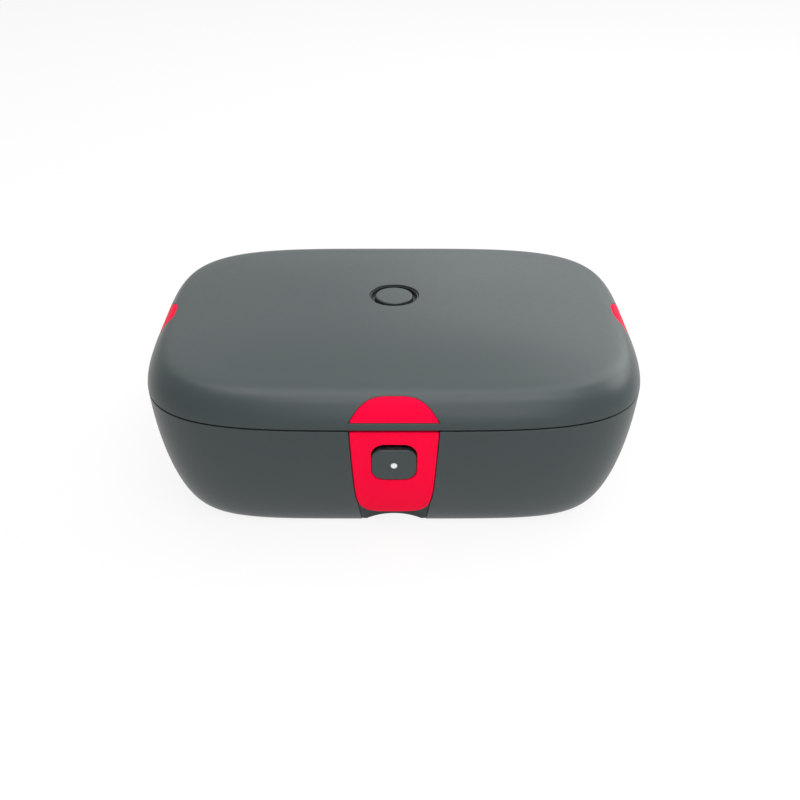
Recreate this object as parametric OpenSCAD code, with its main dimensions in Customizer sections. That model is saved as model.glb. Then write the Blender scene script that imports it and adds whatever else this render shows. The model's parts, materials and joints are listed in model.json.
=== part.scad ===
// Electric lunch box: a heated base with a lift-out steel dish, and a lid hinged at the back
// and held by three snap latches. Millimetres. +Z is up, the front faces -Y, Z = 0 is the table.

/* [Overall] */
// Width of the box at the seam, left to right
box_w = 250; // [248:1:254]
// Depth of the box at the seam, front to back
box_d = 185; // [184:1:188]
// Height of the seam between the base and the lid
seam_z = 66.2; // [66:0.1:66.4]
// Height of the dark gap at the seam
seam_gap = 0.8; // [0.6:0.1:0.8]
// Wall thickness of the two outer shells
wall = 2.6; // [2.4:0.1:2.8]
// Points round each ring of the shells
ring_points = 72; // [56:8:72]

/* [Plan] */
// Squareness of the plan at the seam and in the lid (2 is an ellipse)
seam_power = 4.1; // [3.9:0.1:4.3]
// Squareness of the plan at the underside
foot_power = 5.35; // [5.2:0.05:5.5]
// Inward taper of the base wall over its whole height
base_taper = 8.13; // [7.8:0.01:8.4]
// Further inset of the base wall where it rounds under
base_round = 15.65; // [15:0.05:16]
// Front and back inset of the base wall as a share of the side inset
depth_share = 0.923; // [0.91:0.001:0.94]

/* [Lid] */
// Height of the lid's rounded shoulder
shoulder_h = 16.5; // [16:0.1:17]
// Inset of the lid's rounded shoulder
shoulder_in = 10.5; // [10:0.1:11]
// Rise of the lid's crown above the shoulder
crown_h = 5.2; // [4.8:0.1:5.4]

/* [Vent button] */
// Outer radius of the groove round the vent button
vent_ring_r = 13.25; // [13:0.05:13.5]
// Radius of the vent button
vent_button_r = 10; // [9.6:0.1:10.2]
// Distance of the vent button behind the middle of the lid
vent_back = 8.5; // [7:0.5:10]

/* [Latches] */
// Half width of a latch flap at the seam
flap_half = 21; // [20.5:0.1:21.2]
// Height of the lower edge of a latch flap
flap_low = 10.4; // [10:0.1:11]
// Thickness of a latch flap
flap_t = 2.6; // [2.4:0.1:2.8]
// Half width of the red keeper on the lid
keeper_half = 20.9; // [20.8:0.1:21.4]
// Height of the flat lower edge of the keeper
keeper_low = 70.3; // [70.2:0.1:70.6]
// Height of the keeper's round top
keeper_top = 81; // [80.8:0.1:81.4]
// How much higher the side keepers reach than the front one
side_keeper_rise = 1.2; // [0:0.1:1.2]

/* [Power button] */
// Width of the window in the front flap
window_w = 21.8; // [21.4:0.1:22]
// Lower edge of the window in the front flap
window_low = 35; // [34.5:0.1:35.5]
// Upper edge of the window in the front flap
window_high = 58; // [57.5:0.1:58]
// How far the power button goes in
power_travel = 0.6; // [0.4:0.1:0.6]

/* [Dish] */
// Outer width of the steel dish below its rim
dish_w = 194; // [186:1:195]
// Outer depth of the steel dish below its rim
dish_d = 130; // [122:1:131]
// Corner radius of the steel dish
dish_corner = 23; // [20:1:26]
// Thickness of the steel sheet
sheet_t = 0.9; // [0.8:0.1:1]

/* [Hidden] */
$fn = 48;
LATCH_SIDES = ["front", "left", "right"];

eps = 0.01;
half_w = box_w / 2;
half_d = box_d / 2;
// The hinge sticks out at the back, so the plan's centre lies forward of the part's centre.
hinge_out = 2.2;
knuckle_r = 3.2;
plan_y = -(hinge_out + knuckle_r) / 2;
hinge_y = half_d + hinge_out;
hinge_z = seam_z;
base_top = seam_z - seam_gap / 2;
lid_top = seam_z + shoulder_h + crown_h;
// Limits of the cutters: beyond the side that is worked on, behind the back, and over the lid
outside = -half_w - 5;
behind = half_d + 5;
over = 100;

// Underside
foot_h = 1.5;
round_from = 0.073;
shoulder_power = 1.8;
crown_power = 2.4;

// Shades, as the photograph shows them
shell_grey = [0.33, 0.36, 0.37];
inner_grey = [0.22, 0.23, 0.24];
latch_red = [0.93, 0.05, 0.22];
steel = [0.75, 0.76, 0.78];
board_green = [0.1, 0.35, 0.2];
copper = [0.8, 0.5, 0.25];
rubber_black = [0.08, 0.08, 0.08];

// ---------- Plan and profile formulas ----------

// A point of a superellipse at angle t
function plan_point(a, b, power, t) = [
    a * sign(cos(t)) * pow(abs(cos(t)), 2 / power),
    b * sign(sin(t)) * pow(abs(sin(t)), 2 / power)
];

function plan(a, b, power) = [
    for (i = [0 : ring_points - 1]) plan_point(a, b, power, 360 * i / ring_points)
];

function ring(a, b, power, z) = [for (p = plan(a, b, power)) [p.x, p.y, z]];

// Inset of the base wall from the seam, at height z
function base_inset(z) =
    let (
        drop = 1 - z / seam_z,
        turn = max(0, drop - round_from) / (1 - round_from)
    )
    base_taper * drop + base_round * (1 - sqrt(1 - turn * turn));

function base_power(z) = foot_power + (seam_power - foot_power) * z / seam_z;

function base_ring(z, inside) = ring(
    half_w - base_inset(z) - inside,
    half_d - depth_share * base_inset(z) - inside,
    base_power(z),
    z
);

// Inset of the lid's shoulder at height z
function lid_inset(z) =
    let (rise = min(1, max(0, (z - seam_z) / shoulder_h)))
    shoulder_in * (1 - pow(cos(asin(pow(rise, shoulder_power / 2))), 2 / shoulder_power));

function shoulder_z(t, inside) =
    seam_z + (shoulder_h - inside) * pow(sin(t), 2 / shoulder_power);

function shoulder_inset(t, inside) =
    inside + shoulder_in * (1 - pow(cos(t), 2 / shoulder_power));

function lid_ring(t, inside) = ring(
    half_w - shoulder_inset(t, inside),
    half_d - shoulder_inset(t, inside),
    seam_power,
    shoulder_z(t, inside)
);

function crown_ring(s, inside) = ring(
    s * (half_w - shoulder_in - inside),
    s * (half_d - shoulder_in - inside),
    seam_power,
    seam_z + shoulder_h - inside + crown_h * (1 - pow(s, crown_power))
);

// The lid's first ring lies just above the seam gap
lid_start = asin(pow(seam_gap / 2 / shoulder_h, shoulder_power / 2));
lid_start_inner = asin(pow(seam_gap / 2 / (shoulder_h - wall), shoulder_power / 2));

// ---------- General shapes ----------

// A closed skin through a chain of rings, with a flat cap at each end
module skin_of(rings) {
    n = ring_points;
    last = len(rings) - 1;
    polyhedron(
        points = [for (r = rings) each r],
        faces = concat(
            [[for (i = [0 : n - 1]) i]],
            [
                for (k = [0 : last - 1], i = [0 : n - 1])
                    [k * n + i, (k + 1) * n + i, (k + 1) * n + (i + 1) % n]
            ],
            [
                for (k = [0 : last - 1], i = [0 : n - 1])
                    [k * n + i, (k + 1) * n + (i + 1) % n, k * n + (i + 1) % n]
            ],
            [[for (i = [n - 1 : -1 : 0]) last * n + i]]
        )
    );
}

// Everything is drawn round the middle of the plan and then set in the part's frame
module placed() {
    translate([0, plan_y, 0]) children();
}

// The two ends of a span round a middle
function span(middle, half) = [middle - half, middle + half];

module block(x, y, z) {
    translate([x[0], y[0], z[0]]) cube([x[1] - x[0], y[1] - y[0], z[1] - z[0]]);
}

module rounded_2d(w, d, r) {
    square([w - 2 * r, d], center = true);
    square([w, d - 2 * r], center = true);
    for (x = [-1, 1], y = [-1, 1])
        translate([x * (w / 2 - r), y * (d / 2 - r)]) circle(r);
}

module rounded_slab(w, d, r, z0, z1) {
    translate([0, 0, z0]) linear_extrude(z1 - z0) rounded_2d(w, d, r);
}

module rod_x(x0, x1, y, z, r) {
    translate([x0, y, z]) rotate([0, 90, 0]) cylinder(r = r, h = x1 - x0);
}

module rod_y(x, y0, y1, z, r) {
    translate([x, y0, z]) rotate([-90, 0, 0]) cylinder(r = r, h = y1 - y0);
}

module rod_z(x, y, z0, z1, r) {
    translate([x, y, z0]) cylinder(r = r, h = z1 - z0);
}

// Sets a latch drawn for the front at the left or right side
module at_side(side) {
    rotate([0, 0, side == "left" ? -90 : side == "right" ? 90 : 0]) children();
}

// Side of the plan that a latch sits on: distance from the middle, and share of the inset
function reach(side) = side == "front" ? half_d : half_w;
function share(side) = side == "front" ? depth_share : 1;

// Outer skin at the middle of a side, at height z, for the base and for the lid
function skin_y(side, z) = -(reach(side) - share(side) * base_inset(z));
function lid_skin_y(side, z) = -(reach(side) - lid_inset(z));

// A band that follows the base wall, from depth d0 to depth d1 behind the skin
module wall_band(side, z0, z1, d0, d1, half) {
    steps = 12;
    heights = [for (i = [0 : steps]) z0 + (z1 - z0) * i / steps];
    translate([-half, 0, 0]) rotate([90, 0, 90]) linear_extrude(2 * half) polygon(concat(
        [for (z = heights) [skin_y(side, z) + d0, z]],
        [for (i = [steps : -1 : 0]) [skin_y(side, heights[i]) + d1, heights[i]]]
    ));
}

// A band that follows the lid's shoulder
module lid_band(side, z0, z1, d0, d1, half) {
    steps = 10;
    heights = [for (i = [0 : steps]) z0 + (z1 - z0) * i / steps];
    translate([-half, 0, 0]) rotate([90, 0, 90]) linear_extrude(2 * half) polygon(concat(
        [for (z = heights) [lid_skin_y(side, z) + d0, z]],
        [for (i = [steps : -1 : 0]) [lid_skin_y(side, heights[i]) + d1, heights[i]]]
    ));
}

// An outline drawn in X and Z, cut through towards the back
module outline_prism(y0, y1) {
    translate([0, y1, 0]) rotate([90, 0, 0]) linear_extrude(y1 - y0) children();
}

// ---------- Latch outlines ----------

flap_top = base_top - 0.4;
flap_fall = flap_top - flap_low;
flap_taper = 0.13;

// Half width of a flap at the share t of its height, 0 at the top and 1 at the lower edge
function flap_width(t) = flap_half * (1 - flap_taper * t) * pow(max(0, 1 - pow(t, 10)), 0.25);

flap_steps = [0, 0.3, 0.55, 0.7, 0.79, 0.86, 0.91, 0.95, 0.975, 0.99, 1];

module flap_outline() {
    polygon(concat(
        [for (t = flap_steps) [flap_width(t), flap_top - flap_fall * t]],
        [
            for (i = [len(flap_steps) - 2 : -1 : 0])
                [-flap_width(flap_steps[i]), flap_top - flap_fall * flap_steps[i]]
        ]
    ));
}

// Half width of the pocket that the flap lies in, at height z. It follows the flap's sides
// down, and then runs on to the foot where the flap's lower corners turn in.
pocket_gap = 0.35;
pocket_foot = 16.1;
pocket_slope = 0.1;
function pocket_width(z) =
    let (t = (flap_top - z) / flap_fall)
    pocket_gap + max(
        flap_width(min(1, t)),
        min(pocket_foot - pocket_gap + pocket_slope * z, flap_half * (1 - flap_taper * t))
    );

pocket_heights = [-1, 8, 13, 17, 20, 23, 27, 33, 45, 65];

module pocket_outline(grow, top) {
    n = len(pocket_heights);
    heights = [for (i = [0 : n - 1]) i == n - 1 ? top : pocket_heights[i]];
    widths = [for (z = pocket_heights) pocket_width(z) + grow];
    polygon(concat(
        [for (i = [0 : n - 1]) [widths[i], heights[i]]],
        [for (i = [n - 1 : -1 : 0]) [-widths[i], heights[i]]]
    ));
}

// Finger scoop under the flap: an upright cylinder, cut into the foot of the wall
scoop_r = 24.8;
scoop_top = 17;
scoop_deep = 4.6;
function scoop_y(side) = skin_y(side, foot_h) + scoop_deep - scoop_r;

// The keeper is a half moon: a flat lower edge and a round top
keeper_t = 1.0;
keeper_deep = 3.4;
keeper_power = 3.7;
plate_high = 74.6;
function keeper_crest(side) = keeper_top + (side == "front" ? 0 : side_keeper_rise);

module keeper_outline(side, grow) {
    steps = 18;
    rise = keeper_crest(side) - keeper_low;
    polygon(concat(
        [[-keeper_half - grow, keeper_low - grow], [keeper_half + grow, keeper_low - grow]],
        [
            for (i = [1 : steps - 1])
                let (across = sin(90 - 180 * i / steps))
                [
                    (keeper_half + grow) * across,
                    keeper_low + grow + rise * (1 - pow(abs(across), keeper_power))
                ]
        ]
    ));
}

// ---------- Latch parts ----------

pivot_z = 61;
pivot_deep = 4.6;
pin_r = 1.25;
pin_half = 23.5;
pin_hole_r = 1.3;
boss_r = 2.3;
boss_half = 19.5;
flap_edge = 1.1;
cavity_deep = 9;
housing_t = 2;
cavity_half = 21.6;
neck_deep = 5;
neck_t = 1.4;
neck_top = 67;
hook_top = 72.4;
ledge_low = 68.6;
ledge_top = 70.2;
hook_half = 9;

function pivot_y(side) = skin_y(side, pivot_z) + pivot_deep;
function neck_y(side) = skin_y(side, pivot_z) + neck_deep;

module latch_flap(side) {
    color(latch_red) placed() at_side(side) difference() {
        union() {
            intersection() {
                wall_band(side, flap_low, flap_top, 0, flap_t, flap_half + 1);
                outline_prism(outside, -reach(side) + 30) flap_outline();
                flap_top_bevel(side);
            }
            rod_x(-boss_half, boss_half, pivot_y(side), pivot_z, boss_r);
            block(
                [-hook_half, hook_half],
                [neck_y(side), neck_y(side) + neck_t],
                [pivot_z, neck_top]
            );
        }
        rod_x(-pin_half - 5, pin_half + 5, pivot_y(side), pivot_z, pin_hole_r);
        if (side == "front") window_cut();
    }
}

// Everything behind the bevel that lets the flap's top edge turn clear of the lid
module flap_top_bevel(side) {
    edge_y = skin_y(side, flap_top);
    translate([-30, 0, 0]) rotate([90, 0, 90]) linear_extrude(60) polygon([
        [edge_y - 3, flap_low - 1],
        [edge_y - 3, flap_top - flap_edge],
        [edge_y, flap_top - flap_edge],
        [edge_y + flap_edge, flap_top + eps],
        [edge_y + 40, flap_top + eps],
        [edge_y + 40, flap_low - 1]
    ]);
}

window_r = 6.5;
module window_cut() {
    middle = (window_low + window_high) / 2;
    tall = window_high - window_low;
    outline_prism(outside, -half_d + 20)
        translate([0, middle]) rounded_2d(window_w, tall, window_r);
}

// The flexible hook: it springs over the keeper's ledge as the lid shuts
module latch_hook(side) {
    color(latch_red) placed() at_side(side) translate([-hook_half, 0, 0])
        rotate([90, 0, 90]) linear_extrude(2 * hook_half) polygon([
            [neck_y(side) + neck_t, neck_top],
            [neck_y(side) + neck_t, hook_top],
            [neck_y(side) + 0.2, hook_top],
            [neck_y(side) - 1.5, ledge_top + 0.9],
            [neck_y(side) - 1.5, ledge_top + 0.2],
            [neck_y(side), ledge_top + 0.2],
            [neck_y(side), neck_top]
        ]);
}

module latch_pin(side) {
    color(steel) placed() at_side(side)
        rod_x(-pin_half, pin_half, pivot_y(side), pivot_z, pin_r);
}

// A bent leaf of spring steel that holds the flap shut
leaf_t = 0.4;
leaf_half = 4;
leaf_low = 48;
leaf_foot = 55;
leaf_tip = 64.6;
module latch_spring(side) {
    low_y = skin_y(side, leaf_low) + cavity_deep - 0.15;
    foot_y = skin_y(side, leaf_foot) + cavity_deep - 0.15;
    tip_y = neck_y(side) + neck_t;
    color(steel) placed() at_side(side) translate([-leaf_half, 0, 0])
        rotate([90, 0, 90]) linear_extrude(2 * leaf_half) polygon([
            [low_y - leaf_t, leaf_low],
            [low_y, leaf_low],
            [foot_y, leaf_foot],
            [tip_y + leaf_t, leaf_tip],
            [tip_y, leaf_tip],
            [foot_y - leaf_t, leaf_foot + 0.2]
        ]);
}

stem_z = 39.5;
stem_r = 2.4;
light_z = 44.6;
light_r = 1.65;
// The housing's lip under the flap, on both sides of the finger scoop
lip_deep = 0.4;
module latch_housing(side) {
    top = 64.8;
    outer = cavity_half + 2.4;
    color(inner_grey) placed() at_side(side) difference() {
        union() {
            wall_band(side, floor_z + 0.3, top, wall + 0.5, cavity_deep + housing_t, outer);
            intersection() {
                rod_z(0, scoop_y(side), foot_h, scoop_top + 2, scoop_r + housing_t);
                wall_band(side, foot_h, scoop_top + 2, wall + 0.5, 30, outer);
            }
            intersection() {
                wall_band(side, foot_h, flap_low - 0.8, lip_deep, wall + 0.6, outer);
                outline_prism(outside, 0) pocket_outline(-0.1, 70);
            }
        }
        intersection() {
            union() {
                wall_band(side, scoop_top - 1, 70, -5, cavity_deep, cavity_half);
                block([-cavity_half, cavity_half], [outside, 0], [-1, scoop_top]);
            }
            union() {
                wall_band(side, scoop_top - 1, 70, -5, cavity_deep, cavity_half);
                rod_z(0, scoop_y(side), -1, scoop_top, scoop_r);
            }
            outline_prism(outside, 0) pocket_outline(0, 70);
        }
        rod_x(-pin_half - 5, pin_half + 5, pivot_y(side), pivot_z, pin_hole_r);
        if (side == "front") {
            rod_y(0, -half_d, -40, stem_z, stem_r + 0.2);
            rod_y(0, -half_d, -40, light_z, light_r + 0.6);
        }
    }
}

// The half moon on the lid, with a back plate and the ledge that the hook holds
module keeper(side) {
    color(latch_red) placed() at_side(side) {
        intersection() {
            lid_band(side, keeper_low - 1, keeper_crest(side) + 1, 0, keeper_deep, 25);
            outline_prism(outside, 0) keeper_outline(side, 0);
        }
        intersection() {
            lid_band(side, ledge_low, plate_high, keeper_deep - eps, keeper_deep + keeper_t, 25);
            outline_prism(outside, 0) difference() {
                translate([-16, ledge_low]) square([32, plate_high - ledge_low]);
                translate([-hook_half - 0.6, ledge_top])
                    square([2 * hook_half + 1.2, hook_top + 1 - ledge_top]);
            }
        }
        intersection() {
            lid_band(side, ledge_low, ledge_top, keeper_deep + 0.5, neck_deep - 0.3, 8);
            block([-8, 8], [outside, 0], [ledge_low, ledge_top]);
        }
    }
}

// ---------- Base ----------

shell_levels = [foot_h, 3.1, 5.2, 8.4, 12.8, 18.3, 25, 34, 46, 61.4];
inner_levels = [46, 30, 19, 11, 6.4];
floor_z = foot_h + wall;

inlet_w = 24;
inlet_h = 17;
inlet_z = 30;
inlet_x = 0;
bracket_x = 52;
knuckle_gap = 0.3;
lid_knuckle_half = 6;
base_knuckle_w = 8;
knuckle_reach = lid_knuckle_half + knuckle_gap + base_knuckle_w;

cover_w = 184;
cover_d = 124;
cover_r = 26;
rebate = 4;

module base_shell() {
    color(shell_grey) placed() difference() {
        skin_of(concat(
            [for (z = shell_levels) base_ring(z, 0)],
            [base_ring(base_top, 0), base_ring(base_top, wall)],
            [for (z = inner_levels) base_ring(z, wall)],
            [base_ring(floor_z, wall)]
        ));
        for (side = LATCH_SIDES) at_side(side) {
            outline_prism(outside, -reach(side) + 24) pocket_outline(0, 70);
            intersection() {
                rod_z(0, scoop_y(side), -1, scoop_top + 2, scoop_r + housing_t + 0.2);
                wall_band(side, 0.5, scoop_top + 2, wall, 30, 40);
            }
        }
        rounded_slab(cover_w + 0.3, cover_d + 0.3, cover_r, 0, foot_h + 1.4);
        rounded_slab(cover_w - 2 * rebate, cover_d - 2 * rebate, cover_r - rebate, 0, 10);
        block(
            [inlet_x - inlet_w / 2, inlet_x + inlet_w / 2],
            [half_d - 25, behind],
            [inlet_z - inlet_h / 2, inlet_z + inlet_h / 2]
        );
        for (s = [-1, 1], k = [-1, 1])
            block(
                span(
                    s * bracket_x + k * (lid_knuckle_half + knuckle_gap + base_knuckle_w / 2),
                    base_knuckle_w / 2 + 0.15
                ),
                [half_d - 8, behind],
                [hinge_z - 6.4, 70]
            );
        for (s = [-1, 1])
            block(
                span(s * bracket_x, lid_knuckle_half + knuckle_gap),
                [half_d - 2, behind],
                [hinge_z - 4.2, 70]
            );
    }
}

post_x = 77;
post_y = 47;
post_low = 7;
post_r = 4.5;
screw_r = 1.4;
screw_head_r = 2.8;
head_low = foot_h + 0.9;
head_top = foot_h + 3;
screw_top = post_low + 9;
cover_t = 1.3;
pillar_r = 3;
tenon_r = 1.5;
slot_pitch = 6;
slot_half = 1.2;
slots_x = -40;

module bottom_cover() {
    color(inner_grey) placed() difference() {
        union() {
            rounded_slab(cover_w, cover_d, cover_r, foot_h, foot_h + cover_t);
            rounded_slab(
                cover_w - 2 * rebate - 0.3, cover_d - 2 * rebate - 0.3,
                cover_r - rebate, foot_h + cover_t - eps, floor_z
            );
            for (x = [-1, 1], y = [-1, 1])
                rod_z(x * post_x, y * post_y, floor_z - eps, post_low, post_r);
            for (x = board_holes.x, y = board_holes.y) {
                rod_z(x, y, floor_z - eps, board_z, pillar_r);
                rod_z(x, y, board_z - eps, board_z + board_t + 0.8, tenon_r);
            }
        }
        for (x = [-1, 1], y = [-1, 1]) {
            rod_z(x * post_x, y * post_y, 0, post_low + 1, screw_r + 0.2);
            rod_z(x * post_x, y * post_y, 0, head_top, screw_head_r + 0.2);
        }
        for (x = [-1, 1], y = [-1, 1])
            rod_z(x * foot_x, y * foot_y, 0, foot_top, foot_r + 0.05);
        for (i = [-4 : 4], y = [-1, 1])
            block(span(slots_x + i * slot_pitch, slot_half), span(y * 26, 9), [0, 10]);
    }
}

module bottom_screws() {
    color(steel) placed() for (x = [-1, 1], y = [-1, 1]) {
        rod_z(x * post_x, y * post_y, head_low, head_top, screw_head_r);
        rod_z(x * post_x, y * post_y, head_top - eps, screw_top, screw_r);
    }
}

foot_x = 58;
foot_y = 44;
foot_r = 6.5;
foot_top = foot_h + 0.6;
foot_edge = 0.7;

module rubber_feet() {
    color(rubber_black) placed() for (x = [-1, 1], y = [-1, 1])
        translate([x * foot_x, y * foot_y, 0]) rotate_extrude() polygon([
            [0, 0], [foot_r - foot_edge, 0], [foot_r, foot_edge], [foot_r, foot_top], [0, foot_top]
        ]);
}

rim_z = 64;
flange_low = 61.6;
well_gap = 0.6;
well_wall = 2.4;
well_floor = 21.6;
plate_z = 24;

module base_liner() {
    well_w = dish_w + 2 * well_gap;
    well_d = dish_d + 2 * well_gap;
    well_r = dish_corner + well_gap;
    inset = base_inset(flange_low) + wall + 0.25;
    color(inner_grey) placed() difference() {
        union() {
            translate([0, 0, flange_low]) linear_extrude(rim_z - flange_low)
                polygon(plan(half_w - inset, half_d - inset, seam_power));
            rounded_slab(
                well_w + 2 * well_wall, well_d + 2 * well_wall,
                well_r + well_wall, well_floor, flange_low + eps
            );
            for (x = [-1, 1], y = [-1, 1])
                rod_z(x * post_x, y * post_y, post_low, well_floor + eps, post_r);
        }
        rounded_slab(well_w, well_d, well_r, plate_z, over);
        rounded_slab(heater_w + 4, heater_d + 4, 14, 20, over);
        for (x = [-1, 1], y = [-1, 1])
            rod_z(x * post_x, y * post_y, 0, screw_top + 0.5, screw_r);
        for (side = LATCH_SIDES) at_side(side)
            block(
                (cavity_half + 2.6) * [-1, 1],
                [outside, skin_y(side, flange_low) + cavity_deep + housing_t + 0.3],
                [0, over]
            );
        for (s = [-1, 1])
            block(span(s * bracket_x, knuckle_reach + 0.3), [half_d - 10.8, behind], [0, over]);
    }
}

plate_top = 26.2;
module heating_plate() {
    color(steel) placed() difference() {
        rounded_slab(dish_w, dish_d, dish_corner, plate_z, plate_top);
        for (s = [-1, 1]) rod_z(s * clamp_x, 0, 0, plate_top - 0.8, clamp_screw_r + 0.05);
    }
}

// A flat heating element: two long loops bonded under the plate
element_low = 22.2;
heater_w = 140;
heater_d = 80;
heater_band = 12;
module heating_element() {
    color(copper) placed() difference() {
        rounded_slab(heater_w, heater_d, 13, element_low, plate_z);
        rounded_slab(heater_w - 2 * heater_band, heater_d - 2 * heater_band, 8, 0, over);
    }
}

insulator_low = 20.6;
module heat_insulator() {
    color([0.85, 0.82, 0.7]) placed() difference() {
        rounded_slab(heater_w + 3, heater_d + 3, 13.5, insulator_low, element_low);
        rod_z(0, 0, 0, over, thermostat_r + 2);
        rod_z(sensor_x, 0, 0, over, sensor_r + 0.3);
        for (s = [-1, 1]) rod_z(s * clamp_x, 0, 0, over, clamp_screw_r + 0.35);
    }
}

clamp_low = 19.4;
clamp_x = 20;
clamp_half = 10;
clamp_screw_r = 1.15;
module element_clamp() {
    color(steel) placed() difference() {
        block([-32, 60], [-clamp_half, clamp_half], [clamp_low, insulator_low]);
        rod_z(0, 0, 0, over, thermostat_r + 0.4);
        for (s = [-1, 1]) rod_z(s * clamp_x, 0, 0, over, clamp_screw_r + 0.15);
    }
}

module clamp_screws() {
    color(steel) placed() for (s = [-1, 1]) {
        rod_z(s * clamp_x, 0, clamp_low - 2, clamp_low, 2.4);
        rod_z(s * clamp_x, 0, clamp_low - eps, plate_top - 1, clamp_screw_r);
    }
}

thermostat_r = 7;
thermostat_low = 14;
tab_x = 4;
module thermostat() {
    color(steel) placed() {
        rod_z(0, 0, thermostat_low, plate_z, thermostat_r);
        for (s = [-1, 1])
            block(span(s * tab_x, 1.5), [-0.4, 0.4], [board_z, thermostat_low + eps]);
    }
}

fuse_x = 40;
fuse_y = 20;
fuse_z = 17.9;
fuse_half = 6;
module thermal_fuse() {
    color(copper) placed() {
        rod_x(fuse_x - fuse_half, fuse_x + fuse_half, fuse_y, fuse_z, 2.6);
        for (s = [-1, 1])
            block(
                span(fuse_x + s * (fuse_half + 2 - eps), 2),
                span(fuse_y, 0.4),
                span(fuse_z, 0.4)
            );
    }
}

sensor_x = -45;
sensor_r = 3;
sensor_low = 22.4;
module temperature_sensor() {
    color(rubber_black) placed() {
        rod_z(sensor_x, 0, sensor_low, plate_z, sensor_r);
        block(span(sensor_x, 1), [-1, 1], [19, sensor_low + eps]);
    }
}

board_z = 9;
board_t = 1.6;
board_x = [12, 66];
board_depth = [-40, 4];
board_holes = [[15, 63], [-37, 1]];
module control_board() {
    color(board_green) placed() difference() {
        block(board_x, board_depth, [board_z, board_z + board_t]);
        for (x = board_holes.x, y = board_holes.y) rod_z(x, y, 0, over, tenon_r + 0.1);
    }
}

module board_capacitors() {
    top = board_z + board_t;
    color([0.15, 0.15, 0.4]) placed() {
        for (i = [0 : 2]) rod_z(24 + 9 * i, -30, top, top + 6.4, 3.5);
        block([20, 34], [-20, -8], [top, top + 5.4]);
        block([42, 54], [-20, -10], [top, top + 4.4]);
    }
}

// A lead: a tube of eight sides swept along its route
lead_sides = 8;
lead_up = [0.4, -0.3, 1];

function unit(v) = v / norm(v);

function lead_ring(points, i, r) =
    let (
        last = len(points) - 1,
        run = unit(points[min(last, i + 1)] - points[max(0, i - 1)]),
        across = unit(cross(run, lead_up)),
        above = cross(across, run)
    )
    [
        for (k = [0 : lead_sides - 1])
            points[i] + r * (cos(360 * k / lead_sides) * across
                + sin(360 * k / lead_sides) * above)
    ];

module lead(points, r) {
    n = lead_sides;
    last = len(points) - 1;
    polyhedron(
        points = [for (i = [0 : last]) each lead_ring(points, i, r)],
        faces = concat(
            [[for (k = [n - 1 : -1 : 0]) k]],
            [
                for (i = [0 : last - 1], k = [0 : n - 1])
                    [i * n + k, i * n + (k + 1) % n, (i + 1) * n + (k + 1) % n]
            ],
            [
                for (i = [0 : last - 1], k = [0 : n - 1])
                    [i * n + k, (i + 1) * n + (k + 1) % n, (i + 1) * n + k]
            ],
            [[for (k = [0 : n - 1]) last * n + k]]
        )
    );
}

// Routes of the leads, from the inlet to the board and from the board to what it feeds
lead_r = 1.1;
lead_z = board_z + board_t + lead_r + 0.3;

module inner_wiring() {
    color([0.75, 0.12, 0.1]) placed() {
        for (s = [-1, 1]) lead([
            [inlet_x + s * pin_x, inlet_back - 1.7, inlet_z + 1],
            [inlet_x + s * pin_x, inlet_back - 1.7, inlet_z - 4],
            [inlet_x + s * pin_x, inlet_back - 2.4, inlet_z - 12],
            [inlet_x + s * 3, inlet_back - 8, lead_z + 3],
            [inlet_x + 14 + s * 3, 46, lead_z + 1],
            [inlet_x + 42 + s * 3, 26, lead_z],
            [inlet_x + 50 + s * 3, 5, lead_z]
        ], lead_r);
        lead([[-tab_x, 1.2, 11], [-tab_x, 7, 11], [3, 14, lead_z], [18, 16, lead_z], [32, 12, lead_z],
            [35, 5, lead_z]], lead_r);
        lead([[tab_x, 1.2, 11], [tab_x + 0.5, 5, 11], [10, 9.5, lead_z], [18, 11, lead_z], [26, 9, lead_z],
            [28, 5, lead_z]], lead_r);
        lead([
            [0, board_y + 2.6, 42],
            [0, board_y + 3.6, 38],
            [2, -70.8, 27],
            [4, -71, 23],
            [7, -68.6, 20.1],
            [12, -63, 19.2],
            [17, -54, 15],
            [20, -42, lead_z]
        ], lead_r);
    }
}

inlet_back = half_d - 20.5;
pin_x = 4;
socket_r = 4.4;
flange_x = 2;
flange_z = 1.6;
module mains_inlet() {
    inset = depth_share * base_inset(inlet_z);
    face = half_d - inset + 0.4;
    color(rubber_black) placed() difference() {
        intersection() {
            block(
                span(inlet_x, inlet_w / 2 + flange_x),
                [inlet_back, face + 5],
                span(inlet_z, inlet_h / 2 + flange_z)
            );
            rotate([0, 0, 180]) wall_band("front", inlet_z - 12, inlet_z + 12, -0.4, 60, 110);
            union() {
                block(
                    span(inlet_x, inlet_w / 2 - 0.15),
                    [inlet_back, face + 5],
                    span(inlet_z, inlet_h / 2 - 0.15)
                );
                block(
                    span(inlet_x, inlet_w / 2 + flange_x),
                    [half_d - inset - 8.8, half_d - inset - 6.4],
                    span(inlet_z, inlet_h / 2 + flange_z)
                );
            }
        }
        for (s = [-1, 1])
            rod_y(inlet_x + s * pin_x, inlet_back + 3, face + 6, inlet_z, socket_r);
        block(span(inlet_x, pin_x), [inlet_back + 3, face + 6], span(inlet_z, 3));
        for (s = [-1, 1]) rod_y(inlet_x + s * pin_x, 0, face, inlet_z, inlet_pin_r + 0.05);
    }
}

inlet_pin_r = 1.2;
module inlet_pins() {
    color(steel) placed() for (s = [-1, 1])
        rod_y(inlet_x + s * pin_x, inlet_back - 0.4, half_d - 9, inlet_z, inlet_pin_r);
}

board_y = -75.4;
switch_board_t = 1.4;
module switch_board() {
    color(board_green) placed()
        block([-13, 13], [board_y, board_y + switch_board_t], [34, 52]);
}

switch_y = board_y - 1.2;
module power_switch() {
    color(rubber_black) placed() {
        block([-3, 3], [switch_y, board_y], span(stem_z, 2.4));
        rod_y(0, switch_y - 1, switch_y + eps, stem_z, 1.6);
    }
}

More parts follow.
